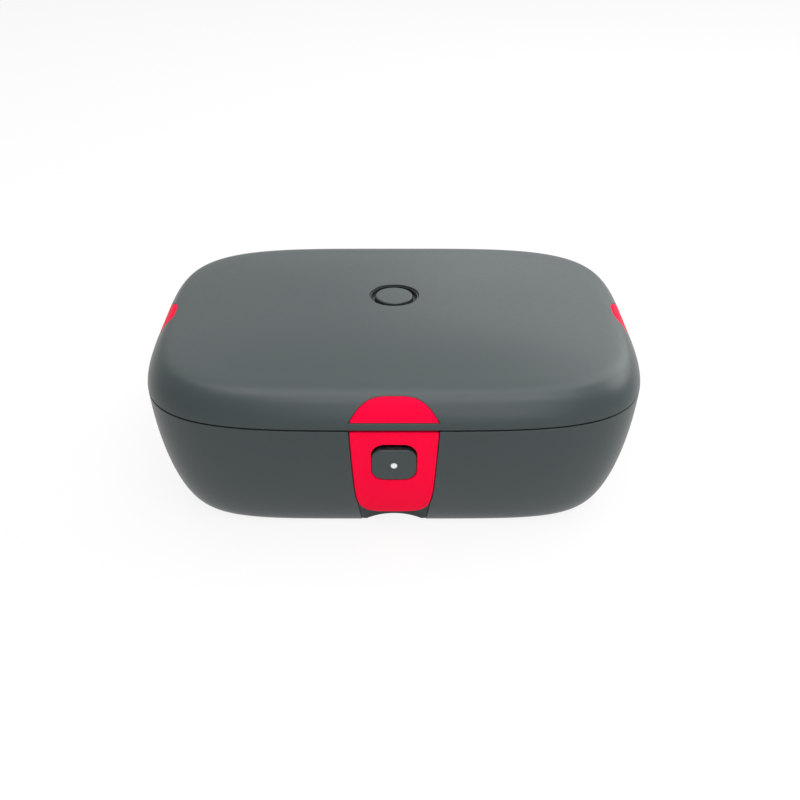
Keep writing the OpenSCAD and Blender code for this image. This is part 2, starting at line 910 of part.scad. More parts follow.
module indicator_led() {
    color([0.9, 0.95, 1]) placed() rod_y(0, board_y - 2.4, board_y, light_z + 0.2, 1.4);
}

// ---------- Power button ----------

cap_gap = 0.35;
cap_low = window_low + cap_gap;
cap_high = 54.4;
cap_deep = 0.3;
cap_t = 3.4;
cap_w = window_w - 2 * cap_gap;
cap_foot_r = window_r - cap_gap;
cap_top_r = 4.9;

// The cap fills the window's foot and stops short of its top
module cap_outline() {
    foot = 2 * cap_foot_r + 1;
    top = cap_high - cap_low - foot + cap_top_r + 1;
    translate([0, cap_low + foot / 2]) rounded_2d(cap_w, foot, cap_foot_r);
    translate([0, cap_high - top / 2]) rounded_2d(cap_w, top, cap_top_r);
}

module power_button() {
    front = skin_y("front", light_z) + cap_deep;
    color(shell_grey) placed() difference() {
        union() {
            intersection() {
                wall_band("front", cap_low, cap_high, cap_deep, cap_deep + cap_t, 12);
                outline_prism(outside, -half_d + 20) cap_outline();
            }
            rod_y(0, front + 1.5, switch_y - 1 - power_travel, stem_z, stem_r);
        }
        rod_y(0, -half_d, -40, light_z, light_r + 0.02);
    }
}

module button_light_pipe() {
    front = skin_y("front", light_z) + cap_deep - 0.15;
    color([0.95, 0.95, 0.95]) placed()
        rod_y(0, front, board_y - 2.6 - power_travel, light_z, light_r);
}

module button_spring() {
    spring_r = stem_r + 0.9;
    start = skin_y("front", stem_z - spring_r) + cap_deep + cap_t + 0.1;
    end = skin_y("front", stem_z + spring_r) + cavity_deep - 0.1;
    color(steel) placed() difference() {
        rod_y(0, start, end, stem_z, spring_r);
        rod_y(0, start - 1, end + 1, stem_z, stem_r + 0.3);
        rod_y(0, start - 1, end + 1, light_z, light_r + 0.4);
    }
}

// ---------- Hinge ----------

hinge_pin_r = 1.5;
bracket_face = half_d - 7;
bracket_back = half_d - 10.4;
bracket_screw_x = 9;
bracket_screw_z = hinge_z - 15;
bracket_screw_r = 1.25;

module base_hinge_brackets() {
    color(inner_grey) placed() for (s = [-1, 1]) difference() {
        union() {
            for (k = [-1, 1])
                translate([s * bracket_x + k * (lid_knuckle_half + knuckle_gap
                    + base_knuckle_w / 2), 0, 0]) {
                    rod_x(-base_knuckle_w / 2, base_knuckle_w / 2, hinge_y, hinge_z, knuckle_r);
                    block(
                        base_knuckle_w / 2 * [-1, 1],
                        [bracket_face, hinge_y],
                        [hinge_z - 6.2, hinge_z - 1.8]
                    );
                }
            block(
                span(s * bracket_x, knuckle_reach),
                [bracket_back, bracket_face + eps],
                [hinge_z - 20, hinge_z - 1.8]
            );
        }
        rod_x(-half_w, half_w, hinge_y, hinge_z, hinge_pin_r + 0.05);
        for (k = [-1, 1])
            rod_y(s * bracket_x + k * bracket_screw_x, 0, half_d, bracket_screw_z,
                bracket_screw_r + 0.05);
    }
}

module hinge_screws() {
    color(steel) placed() for (s = [-1, 1], k = [-1, 1]) {
        x = s * bracket_x + k * bracket_screw_x;
        rod_y(x, bracket_back - 2, bracket_back, bracket_screw_z, 2 * bracket_screw_r);
        rod_y(x, bracket_back - eps, bracket_face - 0.3, bracket_screw_z, bracket_screw_r);
    }
}

module hinge_pins() {
    color(steel) placed() for (s = [-1, 1])
        rod_x(s * bracket_x - knuckle_reach, s * bracket_x + knuckle_reach, hinge_y, hinge_z,
            hinge_pin_r);
}

module lid_hinge_brackets() {
    color(inner_grey) placed() for (s = [-1, 1]) difference() {
        union() {
            rod_x(s * bracket_x - lid_knuckle_half, s * bracket_x + lid_knuckle_half,
                hinge_y, hinge_z, knuckle_r);
            block(
                span(s * bracket_x, lid_knuckle_half),
                [bracket_face, hinge_y],
                [hinge_z + 1.6, hinge_z + 4.6]
            );
            block(
                span(s * bracket_x, lid_knuckle_half + 3),
                [half_d - 9.2, bracket_face + eps],
                [hinge_z + 1.6, hinge_z + 8]
            );
        }
        rod_x(-half_w, half_w, hinge_y, hinge_z, hinge_pin_r + 0.05);
    }
}

// ---------- Dish ----------

dish_low = plate_top;
dish_rim = 5;
rim_top = rim_z + sheet_t;

module steel_dish() {
    color(steel) placed() difference() {
        union() {
            rounded_slab(dish_w, dish_d, dish_corner, dish_low, rim_z + eps);
            rounded_slab(dish_w + 2 * dish_rim, dish_d + 2 * dish_rim, dish_corner + dish_rim,
                rim_z, rim_top);
        }
        rounded_slab(dish_w - 2 * sheet_t, dish_d - 2 * sheet_t, dish_corner - sheet_t,
            dish_low + sheet_t, over);
    }
}

// Two fold-down wire handles lie on the inside of the short ends
wire_r = 1.2;
handle_half = 22;
handle_z = [47, 58];
module dish_handles() {
    x = dish_w / 2 - sheet_t - wire_r - 0.1;
    color(steel) placed() for (s = [-1, 1]) {
        for (k = [-1, 1]) {
            rod_z(s * x, k * handle_half, handle_z[0], handle_z[1], wire_r);
            for (z = handle_z) translate([s * x, k * handle_half, z]) sphere(wire_r);
        }
        rod_y(s * x, -handle_half, handle_half, handle_z[0], wire_r);
    }
}

// ---------- Lid ----------

module lid_shell() {
    outer = [14, 27, 39, 50, 60, 69, 77, 84, 90];
    inner = [90, 70, 48, 24];
    crown = [0.93, 0.84, 0.72, 0.56, 0.36];
    color(shell_grey) placed() difference() {
        skin_of(concat(
            [crown_ring(0.4, wall), crown_ring(0.8, wall)],
            [for (t = inner) lid_ring(t, wall)],
            [lid_ring(lid_start_inner, wall), lid_ring(lid_start, 0)],
            [for (t = outer) lid_ring(t, 0)],
            [for (s = crown) crown_ring(s, 0)],
            [crown_ring(0.12, 0)]
        ));
        rod_z(0, vent_back, 60, over, vent_ring_r);
        for (side = LATCH_SIDES) at_side(side)
            outline_prism(outside, -reach(side) + 12) keeper_outline(side, 0.12);
        for (s = [-1, 1]) {
            block(
                span(s * bracket_x, lid_knuckle_half + 0.15),
                [half_d - 8, behind],
                [60, hinge_z + 4.8]
            );
            block(
                span(s * bracket_x, knuckle_reach + knuckle_gap),
                [half_d - 2, behind],
                [60, hinge_z + 4]
            );
        }
    }
}

liner_low = 69;
liner_top = 71;
lid_post_x = 84;
lid_post_y = 52;
lid_screw_r = 1.25;
gasket_w = dish_w + 2 * dish_rim - 1;
gasket_d = dish_d + 2 * dish_rim - 1;
gasket_r = dish_corner + dish_rim - 0.5;
gasket_t = 4;

module lid_liner() {
    inset = lid_inset(liner_top) + wall + 0.4;
    color(inner_grey) placed() difference() {
        union() {
            translate([0, 0, liner_low]) linear_extrude(liner_top - liner_low)
                polygon(plan(half_w - inset, half_d - inset, seam_power));
            for (x = [-1, 1], y = [-1, 1])
                rod_z(x * lid_post_x, y * lid_post_y, liner_top - eps, 79.5, 4);
            rod_z(0, vent_back, liner_top - eps, 73.4, 5);
        }
        for (x = [-1, 1], y = [-1, 1])
            rod_z(x * lid_post_x, y * lid_post_y, 60, 77, lid_screw_r + 0.05);
        for (side = LATCH_SIDES) at_side(side)
            block([-24, 24], [outside, -reach(side) + 13.5], [60, over]);
        for (s = [-1, 1])
            block(span(s * bracket_x, lid_knuckle_half + 3.4), [half_d - 9.6, behind], [60, over]);
        rod_z(0, vent_back, 60, over, 3.2);
        difference() {
            rounded_slab(gasket_w, gasket_d, gasket_r, 60, liner_low + 0.8);
            rounded_slab(gasket_w - 2 * gasket_t, gasket_d - 2 * gasket_t,
                gasket_r - gasket_t, 50, over);
        }
    }
}

module lid_screws() {
    color(steel) placed() for (x = [-1, 1], y = [-1, 1]) {
        rod_z(x * lid_post_x, y * lid_post_y, liner_low - 1.6, liner_low, 2.6);
        rod_z(x * lid_post_x, y * lid_post_y, liner_low - eps, 76.5, lid_screw_r);
    }
}

module lid_gasket() {
    color([0.7, 0.7, 0.72]) placed() difference() {
        rounded_slab(gasket_w, gasket_d, gasket_r, rim_top, liner_low + 0.8);
        rounded_slab(gasket_w - 2 * gasket_t, gasket_d - 2 * gasket_t, gasket_r - gasket_t,
            50, over);
    }
}

// ---------- Vent ----------

groove_z = 84.8;
vent_floor = 76.4;
vent_ledge = 78.5;
button_low = 81.4;
spring_mid_r = 6.1;
spring_wire = 1;
seat_low = 67.8;
stem_hole_r = 2.6;
vent_stem_r = 2.5;
stem_low = 66.6;

module vent_housing() {
    color([0.08, 0.085, 0.09]) placed() translate([0, vent_back, 0]) difference() {
        union() {
            cylinder_z(vent_ring_r - 0.08, vent_ledge, 86.9);
            cylinder_z(vent_ring_r - 1.2, vent_floor, vent_ledge + eps);
        }
        cylinder_z(vent_ring_r - 0.9, groove_z, over);
        cylinder_z(vent_button_r + 0.35, vent_floor + 1.6, over);
        cylinder_z(stem_hole_r, 0, over);
    }
}

module cylinder_z(r, z0, z1) {
    translate([0, 0, z0]) cylinder(r = r, h = z1 - z0);
}

module vent_button() {
    top = lid_top - 0.25;
    color(shell_grey) placed() translate([0, vent_back, 0]) difference() {
        union() {
            rotate_extrude() polygon([
                [0, button_low], [vent_button_r, button_low], [vent_button_r, top - 0.7],
                [vent_button_r - 0.25, top - 0.25], [vent_button_r - 0.8, top], [0, top]
            ]);
            cylinder_z(vent_stem_r, stem_low, button_low + eps);
        }
        difference() {
            cylinder_z(vent_button_r - 1.6, 80, 84.6);
            cylinder_z(vent_stem_r + 0.8, 79, 85);
        }
    }
}

module vent_spring() {
    color(steel) placed() translate([0, vent_back, 0]) difference() {
        cylinder_z(spring_mid_r + spring_wire / 2, vent_floor + 1.6, 84.4);
        cylinder_z(spring_mid_r - spring_wire / 2, 0, over);
    }
}

// Silicone seat under the liner, and the plug that leaves it when the button is pressed
module vent_valve_seat() {
    color([0.7, 0.7, 0.72]) placed() translate([0, vent_back, 0]) difference() {
        cylinder_z(9, seat_low, liner_low);
        cylinder_z(5, 0, over);
    }
}

module vent_plug() {
    color([0.7, 0.7, 0.72]) placed() translate([0, vent_back, 0]) difference() {
        cylinder_z(7.5, 66, seat_low);
        cylinder_z(vent_stem_r, stem_low, over);
    }
}

// ---------- Sides ----------

module front_latch_housing() { latch_housing("front"); }
module left_latch_housing() { latch_housing("left"); }
module right_latch_housing() { latch_housing("right"); }
module front_latch_pin() { latch_pin("front"); }
module left_latch_pin() { latch_pin("left"); }
module right_latch_pin() { latch_pin("right"); }
module front_latch_spring() { latch_spring("front"); }
module left_latch_spring() { latch_spring("left"); }
module right_latch_spring() { latch_spring("right"); }
module front_latch_flap() { latch_flap("front"); }
module left_latch_flap() { latch_flap("left"); }
module right_latch_flap() { latch_flap("right"); }
module front_latch_hook() { latch_hook("front"); }
module left_latch_hook() { latch_hook("left"); }
module right_latch_hook() { latch_hook("right"); }
module front_keeper() { keeper("front"); }
module left_keeper() { keeper("left"); }
module right_keeper() { keeper("right"); }

base_shell();
bottom_cover();
bottom_screws();
rubber_feet();
base_liner();
heating_plate();
heating_element();
heat_insulator();
element_clamp();
clamp_screws();
thermostat();
thermal_fuse();
temperature_sensor();
control_board();
board_capacitors();
inner_wiring();
mains_inlet();
inlet_pins();
switch_board();
power_switch();
indicator_led();
front_latch_housing();
left_latch_housing();
right_latch_housing();
front_latch_pin();
left_latch_pin();
right_latch_pin();
front_latch_spring();
left_latch_spring();
right_latch_spring();
base_hinge_brackets();
hinge_screws();
hinge_pins();
steel_dish();
dish_handles();
lid_shell();
lid_liner();
lid_screws();
lid_gasket();
lid_hinge_brackets();
vent_housing();
vent_spring();
vent_valve_seat();
front_keeper();
left_keeper();
right_keeper();
vent_button();
vent_plug();
power_button();
button_light_pipe();
button_spring();
front_latch_flap();
left_latch_flap();
right_latch_flap();
front_latch_hook();
left_latch_hook();
right_latch_hook();
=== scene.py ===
"""Looks of the electric lunch box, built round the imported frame. Lengths in the helpers are millimetres."""

import json
import math
from functools import partial

import bmesh
import bpy
import numpy as np
from mathutils import Matrix, Vector


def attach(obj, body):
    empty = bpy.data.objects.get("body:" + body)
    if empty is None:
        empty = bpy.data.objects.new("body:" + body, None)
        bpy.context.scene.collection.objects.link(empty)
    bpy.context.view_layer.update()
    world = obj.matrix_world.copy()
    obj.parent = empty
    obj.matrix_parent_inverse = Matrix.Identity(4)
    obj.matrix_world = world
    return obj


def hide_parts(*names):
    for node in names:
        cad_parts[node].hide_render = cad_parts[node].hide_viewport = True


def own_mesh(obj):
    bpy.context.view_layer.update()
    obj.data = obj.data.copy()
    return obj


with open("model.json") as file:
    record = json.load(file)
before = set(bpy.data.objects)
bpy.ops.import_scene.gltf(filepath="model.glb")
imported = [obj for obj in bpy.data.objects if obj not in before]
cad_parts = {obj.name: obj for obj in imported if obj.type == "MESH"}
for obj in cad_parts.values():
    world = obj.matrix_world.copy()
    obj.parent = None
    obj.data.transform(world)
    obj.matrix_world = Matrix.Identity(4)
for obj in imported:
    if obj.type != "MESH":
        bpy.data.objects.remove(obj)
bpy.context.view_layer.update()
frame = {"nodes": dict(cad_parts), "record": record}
NODES = frame["nodes"]

MM = 0.001
AROUND = 360  # points on each ring of a shell
FINE = 1600  # points on an outline while it is worked on

# The outer form. Its plan is drawn round (0, 0), which lies at y = PLAN_Y in the frame.
PLAN_Y = -2.7
HALF_W, HALF_D = 125.0, 92.5
SEAM_Z, SEAM_HALF = 66.2, 0.4
BASE_TOP, FOOT_H = SEAM_Z - SEAM_HALF, 1.5
WALL, LIP_R = 2.6, 0.3
FLOOR_Z = FOOT_H + WALL
SEAM_POWER, FOOT_POWER = 4.1, 5.35
BASE_TAPER, BASE_ROUND, ROUND_FROM = 8.13, 15.65, 0.073
DEPTH_SHARE = 0.923
SHOULDER_H, SHOULDER_IN, SHOULDER_POWER = 16.5, 10.5, 1.8
CROWN_H, CROWN_POWER = 5.2, 2.4
LID_TOP = SEAM_Z + SHOULDER_H + CROWN_H
SIDES = {"front": 0.0, "left": -90.0, "right": 90.0}  # degrees that turn the front to each side


# ---------- Form of the shells, as in the part's source ----------

def base_inset(z):
    """How far the base's skin lies inside the seam's outline."""
    drop = 1 - np.asarray(z, float) / SEAM_Z
    turn = np.maximum(0, drop - ROUND_FROM) / (1 - ROUND_FROM)
    return BASE_TAPER * drop + BASE_ROUND * (1 - np.sqrt(np.maximum(0, 1 - turn * turn)))


def base_power(z):
    """How square the base's plan is."""
    return FOOT_POWER + (SEAM_POWER - FOOT_POWER) * z / SEAM_Z


def lid_inset(z):
    """How far the lid's skin lies inside the seam's outline."""
    rise = np.clip((np.asarray(z, float) - SEAM_Z) / SHOULDER_H, 0, 1)
    fall = np.cos(np.arcsin(rise ** (SHOULDER_POWER / 2)))
    return SHOULDER_IN * (1 - fall ** (2 / SHOULDER_POWER))


def reach(side):
    return HALF_D if side == "front" else HALF_W


def base_skin(side, z):
    """y of the base's skin on the middle line of a side, which is drawn as if it were the front."""
    share = DEPTH_SHARE if side == "front" else 1.0
    return -(reach(side) - share * base_inset(np.minimum(z, SEAM_Z)))


def lid_skin(side, z):
    return -(reach(side) - lid_inset(z))


# ---------- Mesh helpers ----------

def circle(count):
    """Cosines and sines of even steps round a full turn."""
    t = 2 * np.pi * np.arange(count) / count
    return np.cos(t), np.sin(t)


def cos_sin(*degrees):
    """Cosine and sine of each angle."""
    return [(math.cos(math.radians(a)), math.sin(math.radians(a))) for a in degrees]


def super_ring(a, b, power, z):
    """A rounded ring with the half sizes a and b. The higher the power, the squarer it is."""
    c, s = circle(AROUND)
    r = (np.abs(c / a) ** power + np.abs(s / b) ** power) ** (-1 / power)
    return np.column_stack([r * c, r * s, np.full(AROUND, float(z))])


def base_ring(z, inside=0.0):
    inset = float(base_inset(z))
    return super_ring(HALF_W - inset - inside, HALF_D - DEPTH_SHARE * inset - inside, base_power(z), z)


def slab_ring(w, d, r, z, per_corner=14, along=10):
    """Rounded rectangle, with the same number of points whatever its size."""
    corners = []
    for sx, sy, start in ((1, 1, 0), (-1, 1, 90), (-1, -1, 180), (1, -1, 270)):
        cx, cy = sx * (w / 2 - r), sy * (d / 2 - r)
        turn = [start + 90 * k / per_corner for k in range(per_corner + 1)]
        corners.append([(cx + r * c, cy + r * s) for c, s in cos_sin(*turn)])
    points = []
    for arc, following in zip(corners, corners[1:] + corners[:1]):
        (ax, ay), (bx, by) = arc[-1], following[0]
        points += arc
        points += [(ax + (bx - ax) * f, ay + (by - ay) * f) for f in np.arange(1, along) / along]
    return np.column_stack([np.array(points), np.full(len(points), float(z))])


def loft(rings, closed=False):
    """Verts and faces of a skin through rings of equal count. closed joins the last ring to the first."""
    n, k = len(rings[0]), len(rings)
    verts = [tuple(p) for ring in rings for p in ring]
    faces = []
    for i in range(k if closed else k - 1):
        a, b = i * n, ((i + 1) % k) * n
        faces += [(a + j, a + (j + 1) % n, b + (j + 1) % n, b + j) for j in range(n)]
    for ring, flip in [] if closed else [(0, True), (k - 1, False)]:
        centre = len(verts)
        verts.append(tuple(np.mean(rings[ring], axis=0)))
        for j in range(n):
            tri = (ring * n + j, ring * n + (j + 1) % n, centre)
            faces.append(tri[::-1] if flip else tri)
    return verts, faces


def merge(*parts):
    verts, faces = [], []
    for v, f in parts:
        start = len(verts)
        verts += [tuple(p) for p in v]
        faces += [tuple(i + start for i in face) for face in f]
    return verts, faces


def box_part(x, y, z):
    verts = [(x[i], y[j], z[k]) for k in (0, 1) for j in (0, 1) for i in (0, 1)]
    faces = [(0, 2, 3, 1), (4, 5, 7, 6), (0, 1, 5, 4), (2, 6, 7, 3), (0, 4, 6, 2), (1, 3, 7, 5)]
    return verts, faces


def across_axis(first, second, along, axis):
    """Points whose place on the axis (0, 1 or 2 for x, y or z) is along."""
    columns = [first, second]
    columns.insert(axis, along)
    return np.column_stack(columns)


def lathe(profile, centre, count, axis=2, closed=False):
    """A turned form. profile is (radius, place on the axis) pairs."""
    c, s = circle(count)
    return loft([
        across_axis(centre[0] + r * c, centre[1] + r * s, np.full(count, float(along)), axis)
        for r, along in profile
    ], closed)


def tube(points, radius, sides):
    """A round rod along a chain of points."""
    tangents = np.gradient(points, axis=0)
    tangents /= np.linalg.norm(tangents, axis=1)[:, None]
    normal = np.cross(tangents[0], [0, 0, 1.0])
    c, s = circle(sides)
    rings = []
    for centre, tangent in zip(points, tangents):
        normal = normal - tangent * np.dot(normal, tangent)
        normal /= np.linalg.norm(normal)
        side = np.cross(tangent, normal)
        rings.append(centre + radius * (np.outer(c, normal) + np.outer(s, side)))
    return loft(rings)


def coil(centre, axis, start, end, radius, wire, turns):
    """A wound compression spring with closed ends. wire is the wire's radius."""
    per_turn, closed_turns = 28, 0.8
    u = np.linspace(0, 1, int(turns * per_turn) + 1)
    ease = np.clip((u * turns - closed_turns) / (turns - 2 * closed_turns), 0, 1)
    along = start + wire + (end - start - 2 * wire) * ease
    angle = 2 * np.pi * turns * u
    a, b = radius * np.cos(angle), radius * np.sin(angle)
    return tube(across_axis(centre[0] + a, centre[1] + b, along, axis), wire, 10)


def at_side(part, side):
    """Turns a part that is drawn at the front to its own side."""
    turn = np.array(Matrix.Rotation(math.radians(SIDES[side]), 3, "Z"))
    return [tuple(turn @ np.asarray(p, float)) for p in part[0]], part[1]


def add_object(name, data):
    obj = bpy.data.objects.new(name, data)
    bpy.context.scene.collection.objects.link(obj)
    return obj


def new_object(name, part):
    verts, faces = part
    mesh = bpy.data.meshes.new(name)
    mesh.from_pydata([(x * MM, (y + PLAN_Y) * MM, z * MM) for x, y, z in verts], [], faces)
    bm = bmesh.new()
    bm.from_mesh(mesh)
    bmesh.ops.remove_doubles(bm, verts=bm.verts, dist=1e-7)
    bmesh.ops.recalc_face_normals(bm, faces=bm.faces)
    bm.to_mesh(mesh)
    bm.free()
    return add_object(name, mesh)


def box_tool(name, x, y, z):
    return new_object(name, box_part(x, y, z))


def slab_tool(name, w, d, r, z):
    return new_object(name, loft([slab_ring(w, d, r, h, 16, 8) for h in z]))


def cut(obj, tools):
    """Cuts each tool from obj, and leaves obj with the finished mesh."""
    for tool in tools:
        modifier = obj.modifiers.new("cut", "BOOLEAN")
        modifier.operation = "DIFFERENCE"
        modifier.solver = "EXACT"
        modifier.object = tool
    graph = bpy.context.evaluated_depsgraph_get()
    graph.update()
    made = bpy.data.meshes.new_from_object(obj.evaluated_get(graph))
    obj.modifiers.clear()
    obj.data = made
    for tool in tools:
        bpy.data.objects.remove(tool)
    return obj


def finish_piece(obj, body, slot, stands_for, sharp=32, weighted=True):
    """Gives a piece its material, its shading and its body. Edges sharper than sharp degrees stay sharp."""
    mesh = obj.data
    mesh.materials.clear()
    mesh.materials.append(MATERIALS[slot])
    mesh.polygons.foreach_set("use_smooth", [True] * len(mesh.polygons))
    mesh.set_sharp_from_angle(angle=math.radians(sharp))
    if weighted:
        modifier = obj.modifiers.new("normals", "WEIGHTED_NORMAL")
        modifier.keep_sharp = True
        modifier.weight = 60
    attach(obj, body)
    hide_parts(*stands_for)


# ---------- Outlines drawn on a wall ----------

def offset_outline(points, distance):
    """Moves a closed outline of (x, z) points outwards by distance, or by one distance for each point."""
    p = np.asarray(points, float)
    before, after = p - np.roll(p, 1, 0), np.roll(p, -1, 0) - p
    before /= np.linalg.norm(before, axis=1)[:, None]
    after /= np.linalg.norm(after, axis=1)[:, None]
    n1 = np.column_stack([before[:, 1], -before[:, 0]])
    n2 = np.column_stack([after[:, 1], -after[:, 0]])
    n = n1 + n2
    n /= np.maximum(1e-9, np.linalg.norm(n, axis=1))[:, None]
    stretch = 1 / np.maximum(0.5, np.sum(n * n1, axis=1))
    area = 0.5 * np.sum(p[:, 0] * np.roll(p[:, 1], -1) - np.roll(p[:, 0], -1) * p[:, 1])
    sign = 1 if area > 0 else -1
    return p + sign * n * (np.asarray(distance, float) * stretch)[..., None]


def resample(points, count):
    """count points at even steps along a closed outline."""
    p = np.asarray(points, float)
    q = np.vstack([p, p[:1]])
    steps = np.concatenate([[0], np.cumsum(np.linalg.norm(np.diff(q, axis=0), axis=1))])
    u = np.linspace(0, steps[-1], count, endpoint=False)
    return np.column_stack([np.interp(u, steps, q[:, k]) for k in (0, 1)])


def soften(points, radius, count):
    """Rounds the corners of an outline by a moving average, and returns count points on it."""
    fine = resample(points, FINE)
    length = np.linalg.norm(np.roll(fine, -1, 0) - fine, axis=1).sum()
    near = max(1, int(round(radius * 0.8 / length * FINE)))
    window = np.ones(2 * near + 1) / (2 * near + 1)
    for _ in range(2):
        for k in (0, 1):
            wrapped = np.concatenate([fine[-near:, k], fine[:, k], fine[:near, k]])
            fine[:, k] = np.convolve(wrapped, window, "valid")
    return resample(fine, count)


def on_wall(outline, skin, depth):
    """Lays an outline of (x, z) points on a wall. skin gives the wall's y, and depth goes inwards."""
    p = np.asarray(outline, float)
    return np.column_stack([p[:, 0], skin(p[:, 1]) + depth, p[:, 1]])


def wall_cutter(name, side, outline, skin, edge, deep):
    """A tool that cuts an outline out of a wall and rounds the wall's edge by edge."""
    outside = 6.0
    rings = [on_wall(offset_outline(outline, edge), skin, -outside)]
    for c, s in cos_sin(90, 70, 50, 30, 10, 0):
        rings.append(on_wall(offset_outline(outline, edge - edge * c), skin, edge - edge * s))
    rings.append(on_wall(outline, skin, deep))
    return new_object(name, at_side(loft(rings), side))


def wall_panel(outline, skin, thick, edge, hole=None, hole_edge=0.0, rows=14):
    """A plate that follows a wall, with rounded edges and perhaps a hole of as many points as outline."""
    back_edge = 0.3
    edges = np.broadcast_to(np.asarray(edge, float), (len(outline),))
    rim, back_rim = offset_outline(outline, -edges), offset_outline(outline, -back_edge)
    rings = []
    if hole is None:
        middle = np.repeat(outline.mean(axis=0)[None, :], len(outline), 0)
        first = back_first = middle + (rim - middle) * 0.02
    else:
        first, back_first = offset_outline(hole, hole_edge), hole
        for c, s in cos_sin(0, 20, 40, 60, 80):
            grown = offset_outline(hole, hole_edge - hole_edge * c)
            rings.append(on_wall(grown, skin, hole_edge - hole_edge * s))
    rings += [on_wall(first + (rim - first) * (k / rows), skin, 0) for k in range(rows + 1)]
    for c, s in cos_sin(70, 50, 30, 12, 0):
        ring = on_wall(offset_outline(outline, -edges + edges * c), skin, 0)
        ring[:, 1] += edges * (1 - s)
        rings.append(ring)
    rings.append(on_wall(outline, skin, thick - back_edge))
    rings.append(on_wall(back_rim, skin, thick))
    rings += [on_wall(back_first + (back_rim - back_first) * f, skin, thick) for f in (0.5, 0.0)]
    return loft(rings, closed=hole is not None)


# ---------- Materials ----------

def linear(rgb):
    """Scene-linear colour of an sRGB colour in steps of 255."""
    shares = [c / 255 for c in rgb]
    return tuple(c / 12.92 if c <= 0.04045 else ((c + 0.055) / 1.055) ** 2.4 for c in shares)


class Shade:
    """Builds a node material round one Principled shader."""

    def __init__(self, name):
        self.material = bpy.data.materials.new(name)
        self.material.use_nodes = True
        tree = self.material.node_tree
        self.nodes, self.links = tree.nodes, tree.links
        self.shader = self.nodes["Principled BSDF"]
        self.coords = self.nodes.new("ShaderNodeTexCoord").outputs["Object"]

    def add(self, kind, values, **settings):
        """A new node. settings are its properties, and values are those of its inputs."""
        node = self.nodes.new(kind)
        for key, value in settings.items():
            setattr(node, key, value)
        for key, value in values.items():
            node.inputs[key].default_value = value
        return node

    def set(self, **values):
        """Sets inputs of the shader. An underscore stands for a space in the input's name."""
        for key, value in values.items():
            self.shader.inputs[key.replace("_", " ")].default_value = value

    def noise(self, scale, detail=2.0, roughness=0.5, stretch=None):
        node = self.add("ShaderNodeTexNoise", {"Scale": scale, "Detail": detail, "Roughness": roughness})
        source = self.coords
        if stretch:
            mapping = self.add("ShaderNodeMapping", {"Scale": stretch})
            self.links.new(source, mapping.inputs["Vector"])
            source = mapping.outputs["Vector"]
        self.links.new(source, node.inputs["Vector"])
        return node.outputs["Fac"]

    def spread(self, pattern, low, high):
        """Spreads the middle of a noise pattern over low to high."""
        node = self.add("ShaderNodeMapRange", {
            "From Min": 0.3, "From Max": 0.7, "To Min": low, "To Max": high,
        })
        self.links.new(pattern, node.inputs["Value"])
        return node.outputs["Result"]

    def colour(self, pattern, rgb, low, high):
        """Lets the colour drift between low and high times its value."""
        first, second = ([min(1.0, c * factor) for c in linear(rgb)] + [1.0] for factor in (low, high))
        node = self.add("ShaderNodeMix", {6: first, 7: second}, data_type="RGBA")
        self.links.new(self.spread(pattern, 0, 1), node.inputs[0])
        self.links.new(node.outputs[2], self.shader.inputs["Base Color"])

    def roughness(self, pattern, middle, swing):
        self.links.new(self.spread(pattern, middle - swing, middle + swing), self.shader.inputs["Roughness"])

    def bump(self, pattern, depth):
        """depth is in metres."""
        node = self.add("ShaderNodeBump", {"Strength": 1.0, "Distance": depth})
        self.links.new(pattern, node.inputs["Height"])
        self.links.new(node.outputs["Normal"], self.shader.inputs["Normal"])

    def translucent(self, weight, radius):
        """Lets light spread inside the material, radius metres far."""
        self.set(Subsurface_Weight=weight, Subsurface_Radius=[radius] * 3, Subsurface_Scale=1.0)


def plastic(name, rgb, rough, grain=2600, vary=0.04, spec=0.5):
    """Moulded plastic with a fine grain."""
    shade = Shade(name)
    shade.colour(shade.noise(9.0, 3.0), rgb, 1 - vary, 1 + vary)
    shade.roughness(shade.noise(420.0, 3.0), rough, 0.02)
    shade.bump(shade.noise(grain, 2.0, 0.6), 0.000012)
    shade.set(Specular_IOR_Level=spec)
    return shade.material


def metal(name, rgb, rough, stretch=(1, 60, 60), scale=60.0):
    """Metal with a grain that runs along the axis of the smallest stretch."""
    shade = Shade(name)
    grain = shade.noise(scale, 4.0, 0.6, stretch)
    shade.colour(grain, rgb, 0.93, 1.03)
    shade.roughness(grain, rough, 0.07)
    shade.bump(grain, 0.000004)
    shade.set(Metallic=1.0)
    return shade.material


def rubber(name, rgb, rough=0.62, through=0.0):
    """Rubber, silicone and other dull stuff. through is the share of light that enters it."""
    shade = Shade(name)
    shade.colour(shade.noise(30.0, 4.0), rgb, 0.92, 1.06)
    shade.roughness(shade.noise(300.0, 3.0), rough, 0.06)
    shade.bump(shade.noise(1800.0), 0.00002)
    if through:
        shade.translucent(through, 0.004)
    return shade.material


def glow(name, rgb):
    """The diffusing light dot in the power button."""
    shade = Shade(name)
    shade.colour(shade.noise(500.0), rgb, 0.96, 1.0)
    shade.roughness(shade.noise(900.0), 0.35, 0.05)
    shade.translucent(0.3, 0.001)
    return shade.material


